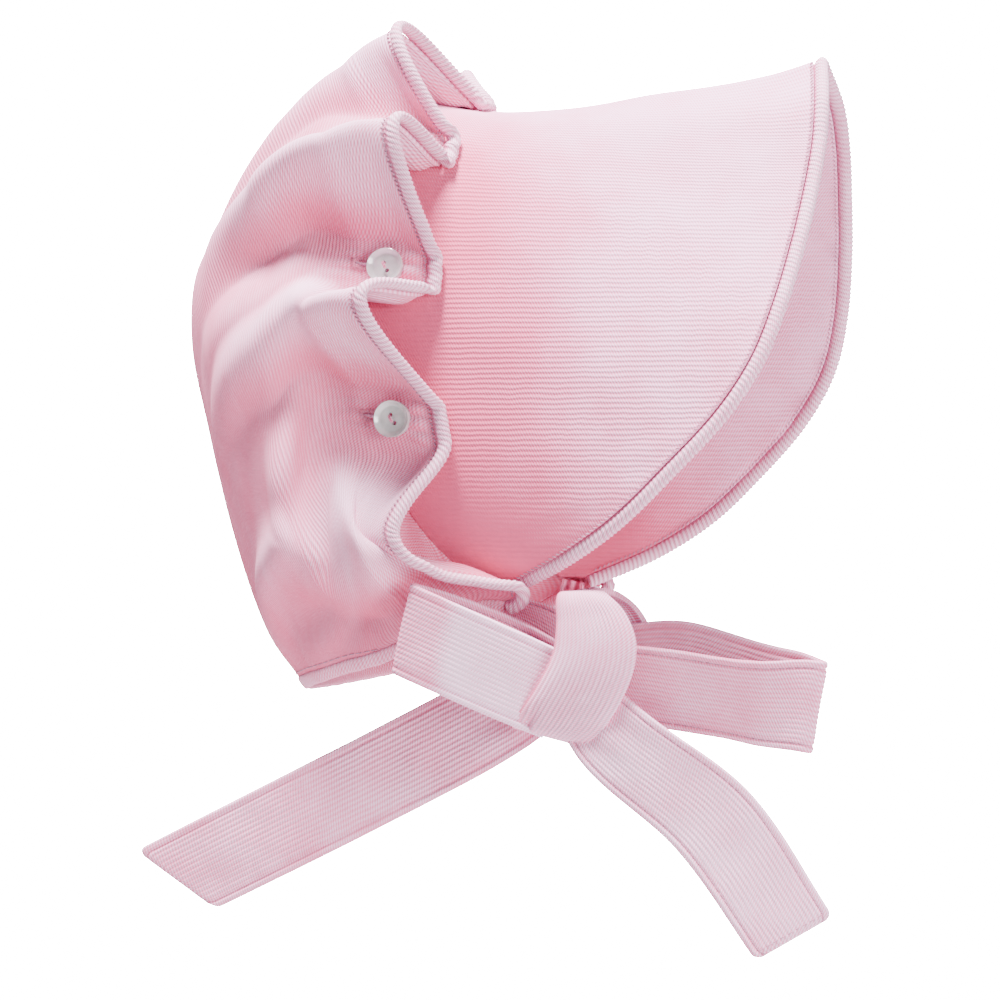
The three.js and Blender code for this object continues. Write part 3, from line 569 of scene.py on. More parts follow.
def corduroy(name, wale, shaded_hollow, side, ridge, relief, contrast=0.22):
    """Fine-wale cotton corduroy, woven with loops that are cut and brushed up. Its ribs are painted paler, as
    light caught by the pile, and the ground between them a deeper pink, as shade in the grooves. The UV's
    second value runs across the ribs in millimetres."""
    material, shader = new_material(name)
    place = add_node(material, "UVMap", uv_map="cloth")
    parts = add_node(material, "SeparateXYZ", {"Vector": place})
    # The ribs wander a little, as woven ones do
    wander = add_node(material, "TexNoise", {"Vector": place}, Scale=0.11, Detail=2.0)
    across = add_node(material, "Math", {0: wander, 1: 0.9, 2: parts.outputs["Y"]}, operation="MULTIPLY_ADD")
    phase = add_node(material, "Math", {0: across, 1: 2 * math.pi / wale}, operation="MULTIPLY")
    wave = add_node(material, "Math", {0: phase}, operation="COSINE")
    rib = add_node(material, "Math", {0: wave, 1: 0.5, 2: 0.5}, operation="MULTIPLY_ADD")
    # The pile stands in short tufts that lie half a tuft apart on neighbouring ribs
    twill = add_node(
        material, "Math", {0: parts.outputs["X"], 1: 2 * math.pi / TUFT, 2: phase}, operation="MULTIPLY_ADD")
    tuft = add_node(material, "Math", {0: twill}, operation="COSINE")
    tuft = add_node(material, "Math", {0: tuft, 1: 0.5, 2: 0.5}, operation="MULTIPLY_ADD")
    fibre = add_node(material, "TexNoise", {"Vector": place}, Scale=2.6, Detail=4.0)
    nap = add_node(material, "TexNoise", {"Vector": place}, Scale=0.045, Detail=3.0, Roughness=0.6)
    # Painted light and shade from the piece's attribute, ribs, tufts, brushed patches and single fibres make
    # the tone together. The attribute paints lit places paler and shaded ones deeper.
    painted_shading = add_node(material, "Attribute", attribute_name="painted_shading").outputs["Fac"]
    tone = add_node(material, "Math", {0: rib, 1: contrast, 2: painted_shading}, operation="MULTIPLY_ADD")
    tone = add_node(material, "Math", {0: tuft, 1: 0.36, 2: tone}, operation="MULTIPLY_ADD")
    tone = add_node(material, "Math", {0: nap, 1: 0.45, 2: tone}, operation="MULTIPLY_ADD")
    tone = add_node(material, "Math", {0: fibre, 1: 0.35, 2: tone}, operation="MULTIPLY_ADD")
    ramp = add_node(material, "ValToRGB", {"Fac": tone})
    # The ramp runs from painted shade in the hollows to painted light on the ridges
    set_ramp(ramp, (0.24, shaded_hollow), (0.62, side), (0.94, ridge))
    height = add_node(material, "Math", {0: tuft, 1: 0.35, 2: rib}, operation="MULTIPLY_ADD")
    height = add_node(material, "Math", {0: fibre, 1: 0.45, 2: height}, operation="MULTIPLY_ADD")
    bump = add_node(material, "Bump", {"Height": height}, Strength=relief, Distance=0.0004)
    return set_shader(material, shader, ramp, bump, Roughness=0.95, Specular_IOR_Level=0.1, Sheen_Weight=0.12,
                      Sheen_Roughness=0.4, Sheen_Tint=linear("#FFDDEE"))


def spun_thread(name, colour, shade):
    """Spun polyester sewing thread: a matt two-ply twist, painted paler on its crowns as a highlight and
    deeper between its plies as shade.
    """
    material, shader = new_material(name)
    place = add_node(material, "TexCoord").outputs["Object"]
    # A ply is about 0.4 mm from crown to crown
    ply = add_node(material, "TexNoise", {"Vector": place}, Scale=2500.0, Detail=2.0)
    # Painted highlight and shade: the crowns of the plies are painted paler and the ground between them
    # deeper
    ramp = add_node(material, "ValToRGB", {"Fac": ply})
    set_ramp(ramp, (0.35, shade), (0.65, colour))
    bump = add_node(material, "Bump", {"Height": ply}, Strength=0.5, Distance=0.0001)
    return set_shader(material, shader, ramp, bump, Roughness=0.7)


def moulded_nylon(name):
    """Moulded nylon: milky, letting some light through, with the gloss of its mould and faint marks from
    tumbling."""
    material, shader = new_material(name)
    place = add_node(material, "TexCoord").outputs["Object"]
    cloud = add_node(material, "TexNoise", {"Vector": place}, Scale=260.0, Detail=3.0)
    ramp = add_node(material, "ValToRGB", {"Fac": cloud})
    set_ramp(ramp, (0.3, "#C9C2C4"), (0.7, "#E2DCDE"))
    marks = add_node(material, "TexNoise", {"Vector": place}, Scale=1400.0, Detail=2.0)
    bump = add_node(material, "Bump", {"Height": marks}, Strength=0.1, Distance=0.0001)
    return set_shader(material, shader, ramp, bump, Roughness=0.15, IOR=1.53, Transmission_Weight=0.3,
                      Subsurface_Weight=0.04, Subsurface_Scale=0.002, Coat_Weight=0.8, Coat_Roughness=0.08)


VISOR_PINK = corduroy("cotton_corduroy", WALE, "#DE6084", "#EC90B4", "#F8C0E2", 0.5, contrast=0.15)
HOOD_PINK = corduroy("eased_cotton_corduroy", FINE_WALE, "#E16488", "#EA90B2", "#F8C4E2", 0.5)
TIE_PINK = corduroy("tape_cut_corduroy", WALE, "#E26E90", "#EC96BA", "#F9CCE8", 0.5)
BAND_PINK = corduroy("bias_cut_corduroy", WALE, "#C46C90", "#E69CBC", "#F9D2E8", 0.7, contrast=0.36)
THREAD_PINK = spun_thread("spun_polyester_thread", "#D194B0", "#AA6685")
BUTTONHOLE_PINK = spun_thread("buttonhole_twist", "#DF87A5", "#BC6685")
NYLON = moulded_nylon("moulded_nylon")


def finish_piece(piece, material, slot, *nodes):
    piece.data.materials.clear()
    piece.data.materials.append(material)
    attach(piece, "root")
    if nodes:
        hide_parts(*nodes)
    return piece


def resample(points, step, *others):
    """Points along a path at an even step, with any values that go with them."""
    lengths = lengths_along(points)
    at = np.linspace(0, lengths[-1], max(int(round(lengths[-1] / step)), 2) + 1)
    read_at = [np.stack([np.interp(at, lengths, one[:, k]) for k in range(one.shape[1])], axis=-1)
               for one in (points, *others)]
    return at, *read_at


# One stitch: how far along it is, how thick it is and how high it arches, as shares
STITCH_SHAPE = table("along thick arch", [
    (0, 0.4, 0), (0.2, 1, 0.8), (0.5, 1, 1), (0.8, 1, 0.8), (1, 0.4, 0)])


def sew(name, starts, ends, normals, thick, arch, material, slot):
    """Short stitches, each from one point to another of the cloth and arched over it. They are one piece."""
    axis = ends - starts
    side = unit(np.cross(normals, axis))
    rise = unit(np.cross(axis, side))
    turn = np.linspace(0, 2 * math.pi, 6, endpoint=False)
    radius = STITCH_SHAPE["thick"][:, None] * thick / 2
    points = starts[:, None, None] + axis[:, None, None] * STITCH_SHAPE["along"][None, :, None, None]
    points = points + side[:, None, None] * (radius * np.cos(turn))[None, :, :, None]
    height = radius * np.sin(turn) + (STITCH_SHAPE["arch"] * arch)[:, None]
    points = points + rise[:, None, None] * height[None, :, :, None]
    rings, sides = points.shape[1:3]
    one = grid_quads(rings, sides, True)[2].reshape(-1, 4)
    first = np.arange(len(starts))[:, None, None] * rings * sides
    caps = np.stack([np.arange(sides), np.arange(sides)[::-1] + (rings - 1) * sides])
    faces = (one[None] + first).reshape(-1, 4).tolist() + (caps[None] + first).reshape(-1, sides).tolist()
    piece = new_piece(name, points, faces)
    face_outwards(piece)
    return finish_piece(piece, material, slot)


def seam(name, path, normals, slot, step=STITCH, slant=0.0, thick=THREAD, arch=0.15):
    """A row of stitches along a path on the cloth, each turned by slant degrees from the path's direction."""
    at, path, normals = resample(path, step, normals)
    middle = (path[1:] + path[:-1]) / 2
    up = unit(normals[1:] + normals[:-1])
    forth = unit(path[1:] - path[:-1])
    side = unit(np.cross(up, forth))
    radians = math.radians(slant)
    half = (forth * math.cos(radians) + side * math.sin(radians)) * step * 0.45
    return sew(name, middle - half, middle + half, up, thick, arch, THREAD_PINK, slot)


# The visor: the ribs run from back to front, so the pattern's second value is the way round the arch
arch_line = visor_point(np.linspace(-1, 1, 801), np.zeros(801))[:, 1:]
arch_at = lengths_along(arch_line)


def way_round(points):
    flat = points[..., 1:].reshape(-1, 2)
    nearest = np.concatenate([
        ((part[:, None] - arch_line[None]) ** 2).sum(-1).argmin(1) for part in np.array_split(flat, 40)])
    return arch_at[nearest].reshape(points.shape[:-1])


def even_out(values, rounds):
    for _ in range(rounds):
        inner = (values[:-2] + values[1:-1] + values[2:]) / 3
        values = np.concatenate([values[:1], inner, values[-1:]])
    return values


visor_us, visor_vs = np.linspace(-1, 1, 281), np.linspace(0, 1, 81)
vu, vv = np.meshgrid(visor_us, visor_vs, indexing="ij")
visor_points = visor_point(vu, vv)
visor_uv = np.stack([visor_points[..., 0], even_out(way_round(visor_points), 6)], axis=-1)
# The sheet is a little uneven, and puckers where it is sewn to its band
to_band = (1 - vv) * along(SPANS, "visor", np.abs(vu))
pucker = mix(0.35, 1.3, smooth(vu * 3)) * np.exp(-((to_band / 24) ** 2))
pucker = pucker * seeded_waves(visor_uv[..., 1], to_band * 0.5, 7, 9, 24, 3) * smooth(to_band / 3)
uneven = 0.7 * seeded_waves(visor_uv[..., 0], visor_uv[..., 1], 8, 24, 70, 8) * np.sin(math.pi * vv)
visor_points = visor_points + visor_normal(vu, vv) * (pucker + uneven)[..., None]
# Painted light and shade: what faces up is painted paler, as lit from above, and the cloth beside the ruffle
# deeper, as in the ruffle's shade, most of all low on the sides
from_ruffle = vv * along(SPANS, "visor", np.abs(vu))
visor_painted_shading = 0.3 * visor_normal(vu, vv)[..., 2] + mix(
    -0.25 - 0.5 * smooth(np.abs(vu) / 0.35), 0.0, smooth(from_ruffle / 100))
visor = grid_mesh("visor_cloth", visor_points, visor_uv, visor_painted_shading)
apply_modifier(visor, "SOLIDIFY", "wall", thickness=VISOR_WALL * MM, offset=0.0)
face_outwards(visor)
finish_piece(visor, VISOR_PINK, "corduroy", "brim")

# The hood
hood = hood_surface(np.linspace(-1, 1, 421), np.linspace(0, 1, 105) ** 1.2)
hu, ht = np.meshgrid(hood.us, hood.ts, indexing="ij")
hood_uv = np.stack([hu * ARCH_LENGTH, ht * along(SPANS, "hood", np.abs(hu))], axis=-1)
# Painted light and shade: the gathers' crests are painted paler and the hollows and valleys between them
# deeper, and what faces up paler, as lit from above
hood_painted_shading = mix(-0.2, 0.12, smooth(hood.raised / (0.5 * RUFFLE_HEIGHT)))
hood_painted_shading += 0.2 * hood.normals[..., 2] - 0.05
crown = grid_mesh("crown_cloth", hood.points, hood_uv, hood_painted_shading)
apply_modifier(crown, "SOLIDIFY", "wall", thickness=HOOD_WALL * MM, offset=0.0)
face_outwards(crown)
finish_piece(crown, HOOD_PINK, "corduroy", "crown")


def rolled_band(name, edge, normals, lift, twist, side=12):
    """A corduroy band rolled over an edge. Its ribs cross it at a slant, twist ribs for one turn round."""
    at, edge, normals = resample(edge, WALE / 4, normals)
    normals = unit(normals)
    tangent = unit(np.gradient(edge, axis=0))
    away = unit(np.cross(tangent, normals))
    turn = np.linspace(0, 2 * math.pi, side, endpoint=False)
    rib = at[:, None] / WALE + twist * turn[None] / (2 * math.pi)
    swell = 2 * WALE_HEIGHT * np.cos(2 * math.pi * rib)
    out = (0.5 - 0.5 * np.cos(turn))[None] * (BAND_WIDTH + swell)
    fat = 0.55 + 0.45 * smooth((0.5 - 0.5 * np.cos(turn)) / 0.4)
    aside = np.sin(turn)[None] * fat[None] * (BAND_THICKNESS / 2 + swell) + lift
    points = edge[:, None] + away[:, None] * out[..., None] + normals[:, None] * aside[..., None]
    full_turn = np.append(turn, 2 * math.pi)
    uv = np.stack(np.broadcast_arrays(
        full_turn[None] * BAND_WIDTH / 2,
        at[:, None] + WALE * twist * full_turn[None] / (2 * math.pi)), axis=-1)
    # Painted shade: the band is painted deeper along its root, where it rolls in against the cloth
    painted_shading = mix(-0.08, -0.55, smooth((np.cos(turn) - 0.5) / 0.35))
    piece = grid_mesh(name, points, uv, painted_shading, ring=True, caps=True)
    face_outwards(piece)
    return piece


edge_us = np.linspace(-1, 1, 900)
ones = np.ones(900)
rim = rolled_band("visor_band", visor_point(edge_us, ones), visor_normal(edge_us, ones * 0.98), 0.0, 2)
finish_piece(rim, BAND_PINK, "piping", "brim_edge")
ruffle_normals = hood.normal(np.clip(edge_us, -0.99, 0.99), ones * 0.01)
ruffle = rolled_band(
    "crown_band", hood.point(edge_us, ones * 0), ruffle_normals, (BAND_THICKNESS - HOOD_WALL) / 2 + GAP, 4)
finish_piece(ruffle, BAND_PINK, "piping", "crown_edge")

# The bands' seams: a line of stitches on each face of the visor, and a slanted one along the ruffle, whose
# dark stitches also stand for the painted saw-tooth shadow where the band's ribs meet the cloth
seam_us = np.linspace(-0.985, 0.985, 900)
behind_rim = 1 - 0.5 / along(SPANS, "visor", np.abs(seam_us))
rim_line, rim_up = visor_point(seam_us, behind_rim), visor_normal(seam_us, behind_rim)
rim_stitches = seam(
    "visor_band_stitches", rim_line + rim_up * VISOR_WALL / 2, rim_up, "piping",
    step=WALE, slant=-40, thick=0.5)
inner_stitches = seam(
    "visor_band_inner_stitches", rim_line - rim_up * VISOR_WALL / 2, -rim_up, "piping",
    step=WALE, slant=40, thick=0.5)
behind_ruffle = 0.9 / along(SPANS, "hood", np.abs(seam_us))
ruffle_up = hood.normal(seam_us, behind_ruffle)
ruffle_line = hood.point(seam_us, behind_ruffle) + ruffle_up * HOOD_WALL / 2
# These dark slanted stitches are also a painted shadow along the ruffle's seam
ruffle_stitches_and_shadow = seam(
    "crown_band_stitches_and_shadow", ruffle_line, ruffle_up, "piping", step=WALE, slant=38, thick=0.6, arch=0.25)


def hem_path():
    """Round the neck: back along the far side, across the back and forwards along the near side."""
    side = np.linspace(0, 1, 80)[:-1]
    round_back = np.linspace(1, -1, 220)
    us = np.concatenate([np.ones(79), round_back, -np.ones(79)])
    ts = np.concatenate([side, np.ones(220), side[::-1]])
    normals = hood.normal(np.clip(us, -0.99, 0.99), np.clip(ts, 0.01, 0.98))
    return hood.point(us, ts), normals


def flat_hem(name):
    at, edge, normals = resample(hem_path()[0], 1.2, hem_path()[1])
    normals = unit(normals)
    tangent = unit(np.gradient(edge, axis=0))
    away = unit(np.cross(tangent, normals))
    turn = np.linspace(0, 2 * math.pi, 16, endpoint=False)
    boxy = np.sign(np.cos(turn)) * np.abs(np.cos(turn)) ** 0.6
    out = (0.5 - 0.5 * boxy)[None] * HEM_WIDTH
    aside = (np.sign(np.sin(turn)) * np.abs(np.sin(turn)) ** 0.6)[None] * HEM_THICKNESS / 2
    aside = aside + (HEM_THICKNESS - HOOD_WALL) / 2
    points = edge[:, None] + away[:, None] * out[..., None] + normals[:, None] * aside[..., None]
    full_turn = np.append(turn, 2 * math.pi)
    uv = np.stack(np.broadcast_arrays(
        full_turn[None] * HEM_WIDTH / 2, at[:, None] + 0.6 * np.sin(full_turn)[None]), axis=-1)
    piece = grid_mesh(name, points, uv, -0.05, ring=True, caps=True)
    face_outwards(piece)
    return piece


neck_hem = finish_piece(flat_hem("neck_hem"), HOOD_PINK, "corduroy", "crown_hem")


def hem_seam():
    """The hem's stitches, on the hood just above it."""
    back_us = np.linspace(-0.985, 0.985, 500)
    back_t = 1 - 1.6 / along(SPANS, "hood", np.abs(back_us))
    up = hood.normal(back_us, back_t)
    return seam("neck_hem_stitches", hood.point(back_us, back_t) + up * HOOD_WALL / 2, up, "corduroy")


hem_stitches = hem_seam()

# The bow
outwards = np.array([0.0, -1.0, 0.0])
near_corner = visor_point(np.array(-1.0), np.array(0.5))
far_corner = visor_point(np.array(1.0), np.array(0.5))
knot_centre = near_corner + np.array([KNOT_FORWARD, -KNOT_OUT, -KNOT_DROP])


def ribbon(name, path, across, gathered, painted_shading, cut_end):
    """A doubled tie of corduroy with its ribs along it and a stitched line near each edge. gathered is how
    much it is drawn together at each place of the path, from 0 to 1. With cut_end its last corners are
    rounded."""
    at = lengths_along(path)
    tangent = unit(np.gradient(path, axis=0))
    out = unit(np.cross(tangent, across))
    half = TIE_WIDTH / 2
    rounding = TIE_THICKNESS / 2
    flat = np.arange(-half + rounding, half - rounding + 1e-6, WALE / 4)
    bend = np.linspace(0, math.pi, 7)[1:-1]
    spot = np.concatenate([flat, half - rounding + rounding * np.sin(bend), flat[::-1],
                           -half + rounding - rounding * np.sin(bend)])
    level = np.concatenate([np.ones(len(flat)), np.cos(bend), -np.ones(len(flat)), -np.cos(bend)])
    wale = WALE_HEIGHT * np.cos(2 * math.pi * spot / WALE)
    groove = -0.45 * np.exp(-(((half - STITCH_INSET - np.abs(spot)) / 0.5) ** 2))
    height = level * (TIE_THICKNESS / 2 + (wale + groove) * np.abs(level))
    height = np.broadcast_to(height, (len(path), len(spot)))
    # Folds along the tie where it is drawn together, and the slight unevenness of pressed cloth
    fold = 1.1 * np.cos(spot[None] / half * 7.5 + 0.6) * gathered[:, None]
    fold = fold + 0.35 * seeded_waves(np.broadcast_to(at[:, None], height.shape),
                                      np.broadcast_to(spot[None], height.shape), 6, 14, 34, len(name))
    narrow = np.ones(len(path))
    if cut_end:
        to_end = np.clip(1 - (at[-1] - at) / 3.0, 0, 1)
        narrow = 1 - (1 - np.sqrt(1 - to_end ** 2 * 0.98)) * 3.0 / half
        height = height * mix(1, 0.55, to_end ** 4)[:, None]
    lying = (spot / half)[None, :, None] * across[:, None] / 2 * narrow[:, None, None]
    points = path[:, None] + lying + out[:, None] * (height + fold)[..., None]
    uv = np.stack(np.broadcast_arrays(at[:, None], np.append(spot, spot[0])[None]), axis=-1)
    # Painted shade: the cloth is painted a little deeper along the groove of each stitched line
    groove_painted_shade = -0.12 * np.exp(-(((half - STITCH_INSET - np.abs(spot)) / 0.6) ** 2))
    piece = grid_mesh(name, points, uv, np.asarray(painted_shading)[:, None] + groove_painted_shade, ring=True, caps=True)
    face_outwards(piece)
    lines = []
    for edge in (-1, 1):
        column = np.argmin(np.abs(flat - edge * (half - STITCH_INSET)))
        lines.append(seam(name + ("_upper_stitches" if edge > 0 else "_lower_stitches"),
                          points[:, column] + out * 0.1, out, "corduroy"))
    return piece, lines


def bow_axes(angle):
    """The way a piece of the bow leaves the knot, at an angle that is 0 forwards and 90 upwards, and its
    upper side."""
    radians = math.radians(angle)
    forth = np.array([math.cos(radians), 0, math.sin(radians)])
    side = np.array([-forth[2], 0, forth[0]]) * np.sign(forth[0])
    return forth, side


# Each tail's angle, its length, how slanting its end is cut, and its course: how far it swings out and
# aside, as shares of its length, how many degrees it turns and how wide it is
TAILS = {
    "bow_tail_left": (209, NEAR_TAIL_LENGTH, 0.5, table("at out sway turn width", [
        (0.0, -0.02, 0.0, 0, 0.7),
        (0.2, -0.01, -0.01, 0, 0.95),
        (0.5, 0.01, -0.005, -3, 1.0),
        (1.0, 0.03, 0.015, 2, 1.0),
    ])),
    "bow_tail_right": (309, FAR_TAIL_LENGTH, 0.13, table("at out sway turn width", [
        (0.0, 0.02, -0.05, 10, 0.6),
        (0.25, 0.09, -0.03, 0, 0.9),
        (0.6, 0.05, 0.04, -12, 1.0),
        (1.0, 0.02, 0.01, -18, 0.95),
    ])),
}
for node, (angle, length, slant, rows) in TAILS.items():
    forth, side = bow_axes(angle)
    s = np.linspace(0.04, 1, 150)
    col = {name: along(rows, name, s)[:, None] for name in ("out", "sway", "turn", "width")}
    path = knot_centre + forth * s[:, None] * length + (outwards * col["out"] + side * col["sway"]) * length
    turn = np.radians(col["turn"])
    across = (side * np.cos(turn) + outwards * np.sin(turn)) * col["width"] * TIE_WIDTH
    across = across + forth * slant * TIE_WIDTH * s[:, None] ** 3
    # Painted light and shade: each tail is painted deeper near the knot, and further out the right one paler,
    # as lit, and the left one a little deeper
    painted_shading = mix(-0.12, 0.1 if node == "bow_tail_right" else -0.06, smooth(s / 0.3))
    piece, lines = ribbon(node + "_cloth", path, across, 1 - smooth(s / 0.4), painted_shading, True)
    finish_piece(piece, TIE_PINK, "corduroy", node)
    end_line = path[-1] - forth * 2.2 + np.linspace(-0.42, 0.42, 20)[:, None] * across[-1]
    end_up = np.broadcast_to(unit(np.cross(forth, across[-1])), end_line.shape)
    end_line = end_line + end_up * (TIE_THICKNESS / 2 + 0.1)
    lines.append(seam(node + "_end_stitches", end_line, end_up, "corduroy"))

# How wide each loop stays at the knot, how much paler its front is painted there than at its fold, as light
# falling on
#  it, how far its back waves up, as a share of its length, how many degrees its front leans and how many
#  millimetres it is raised
LOOP_FRONTS = {"bow_loop_left": (0.97, 0.3, 0.0, 0, 0), "bow_loop_right": (0.85, -0.04, 0.014, 14, -1.8)}
# Each loop's angle and length, how far out it stands at the knot and at its fold, and how far it drops at
# the knot, the last three as shares of its length
LOOPS = {
    "bow_loop_left": (168, BACK_LOOP_LENGTH, 0.03, 0.33, 0.22),
    "bow_loop_right": (350.5, FRONT_LOOP_LENGTH, -0.05, 0.0, 0.02),
}
for node, (angle, length, start, out, drop) in LOOPS.items():
    at_knot, front_painted_light, wave, lean, raised = LOOP_FRONTS[node]
    forth, side = bow_axes(angle)
    round_loop = math.pi * np.linspace(0, 1, 400)
    reach = np.sin(round_loop) ** 0.55
    front = np.sign(np.cos(round_loop)) * np.abs(np.cos(round_loop)) ** 0.55
    behind = (1 - front) / 2
    stand = front * (LOOP_GAP + TIE_THICKNESS) / 2 + mix(start, out, reach) * length
    rise = (LOOP_LIFT * 4 * behind * reach * (1 - reach) - drop * (1 - reach)) * length
    rise = rise + wave * behind * (1 - np.cos(reach * 8.5)) * smooth((1 - reach) * 6) * length
    rise = rise + raised * (1 - behind) * smooth((1 - reach) * 4) * smooth(reach * 4)
    points = knot_centre + np.outer(reach * length, forth) + np.outer(stand, outwards) + np.outer(rise, side)
    s = np.linspace(0.04, 0.96, 180)
    path = read(evenly(points), s)
    wide = TIE_WIDTH * mix(at_knot, 1, smooth(np.sin(math.pi * s) * 1.6))
    gathered = 1 - smooth(np.minimum(s, 1 - s) / 0.22)
    # Painted highlight: the front of each loop is painted paler from the knot nearly to its fold
    painted_shading = mix(front_painted_light, 0, smooth((s - 0.32) / 0.07)) - 0.06
    tip = np.radians(lean) * smooth((0.5 - s) / 0.2)[:, None]
    narrowed = 1 - 0.1 * smooth((0.5 - s) / 0.2)[:, None] * (lean > 0)
    across = (side * np.cos(tip) + outwards * np.sin(tip)) * wide[:, None] * narrowed
    piece, lines = ribbon(node + "_cloth", path, across, gathered * 1.8 * (1 - at_knot), painted_shading, False)
    finish_piece(piece, TIE_PINK, "corduroy", node)


# The knot's wrap on its front, from its top to its bottom. Its left and right edges are forwards of the
# knot's middle and above it by shares of half the knot's length, and it stands out by a share of half its
# thickness.
KNOT_WRAP = table("at left right left_up right_up out", [
    (0.00, -0.06, 0.22, 0.86, 0.90, 0.0),
    (0.12, -0.17, 0.42, 0.82, 0.84, 0.75),
    (0.30, -0.16, 0.68, 0.46, 0.60, 1.0),
    (0.50, -0.20, 0.82, 0.12, 0.22, 1.1),
    (0.70, -0.40, 0.72, -0.26, -0.24, 1.1),
    (0.88, -0.66, 0.42, -0.64, -0.74, 1.0),
    (0.97, -0.72, 0.14, -0.76, -0.96, 0.75),
    (1.00, -0.70, 0.06, -0.76, -0.98, 0.0),
])


def knot():
    """The tie wrapped once round the bow, with its ribs along it, crowned in the middle and drawn in at one
    side. Also the wrap's length, as the mean over its width."""
    half = KNOT_LENGTH / 2
    turn = np.linspace(0, 2 * math.pi, 241)
    at = (1 - np.cos(turn)) / 2
    front = turn <= math.pi
    col = {name: along(KNOT_WRAP, name, at)[:, None] * half for name in KNOT_WRAP if name != "at"}
    stand = np.where(front, 1, -1)[:, None] * col["out"] / half * KNOT_THICKNESS / 2
    spread = np.linspace(0, 1, 96)[None]
    x = mix(col["left"], col["right"], spread)
    z = mix(col["left_up"], col["right_up"], spread)
    crowning = 2.4 * (1 - (2 * spread - 1) ** 4) * np.sin(math.pi * at)[:, None] ** 0.6
    rib = WALE_HEIGHT * np.cos(2 * math.pi * spread * TIE_WIDTH / WALE)
    crease = -1.6 * np.exp(-(((at[:, None] - 0.93) / 0.08) ** 2) - ((spread - 0.16) / 0.07) ** 2)
    y = np.where(front, 1, -1)[:, None] * (crowning + rib + crease) + stand
    points = knot_centre + np.stack([x, -y, z], axis=-1)
    points[-1] = points[0]
    wrapped = lengths_along(points[:, 48])
    uv = np.stack(np.broadcast_arrays(wrapped[:, None], spread * TIE_WIDTH), axis=-1)
    # Painted shade: the wrap is painted deeper along its left edge, where it meets the left loop, and in its
    # crease
    painted_shading = 0.04 - 0.3 * np.exp(-((spread / 0.05) ** 2)) + 0.12 * crease
    piece = grid_mesh("bow_knot_cloth", points, uv, painted_shading)
    face_outwards(piece, merge=True)
    apply_modifier(piece, "SOLIDIFY", "doubled", thickness=TIE_THICKNESS * MM, offset=-1.0)
    face_outwards(piece)
    round_it = np.linalg.norm(np.diff(points, axis=0), axis=2).sum(axis=0).mean()
    return finish_piece(piece, TIE_PINK, "corduroy", "bow_knot"), round_it


# The knot is a stretch of the tie at its own width, once round the bow
knot_piece, knot_round = knot()

STRAPS = {
    "tie_strap_near": (near_corner, 0),
    "tie_strap_far": (far_corner, CHIN_SAG),
}


def curve_through(points, count):
    """A smooth curve through some points, read at even steps."""
    control = [2 * points[0] - points[1], *points, 2 * points[-1] - points[-2]]
    curve = []
    for a, b, c, d in zip(control, control[1:], control[2:], control[3:]):
        for s in np.linspace(0, 1, 40, endpoint=False):
            curve.append(0.5 * (2 * b + (c - a) * s + (2 * a - 5 * b + 4 * c - d) * s ** 2
                                + (3 * b - a - 3 * c + d) * s ** 3))
    curve.append(points[-1])
    return read(evenly(np.array(curve)), np.linspace(0, 1, count))


for node, (corner, sag) in STRAPS.items():
    first = corner + np.array([0, -np.sign(corner[1]) * SEWN_INSET, -SEWN_WIDTH])
    end = knot_centre - outwards * KNOT_GRIP
    middle = mix(first, end, 0.5) - np.array([0, 0, sag])
    path = curve_through([corner - np.array([0, 0, VISOR_WALL / 2 + GAP]), first, middle, end], 120)
    s = np.linspace(0, 1, 120)
    tangent = unit(np.gradient(path, axis=0))
    forward = np.array([1.0, 0, 0]) - tangent * tangent[:, :1]
    wide = mix(SEWN_WIDTH, TIE_WIDTH * 0.7, smooth(s * 1.5))
    # Painted light and shade: the far strap is painted deeper all along, as in shade, and the near one paler
    # at the visor's corner, as lit
    painted_shading = np.full(120, -0.25) if node == "tie_strap_far" else mix(0.25, -0.1, smooth(s / 0.3))
    piece, lines = ribbon(
        node + "_cloth", path, unit(forward) * wide[:, None], (1 - smooth(s * 1.5)) * 0.6, painted_shading, False)
    finish_piece(piece, TIE_PINK, "corduroy", node)


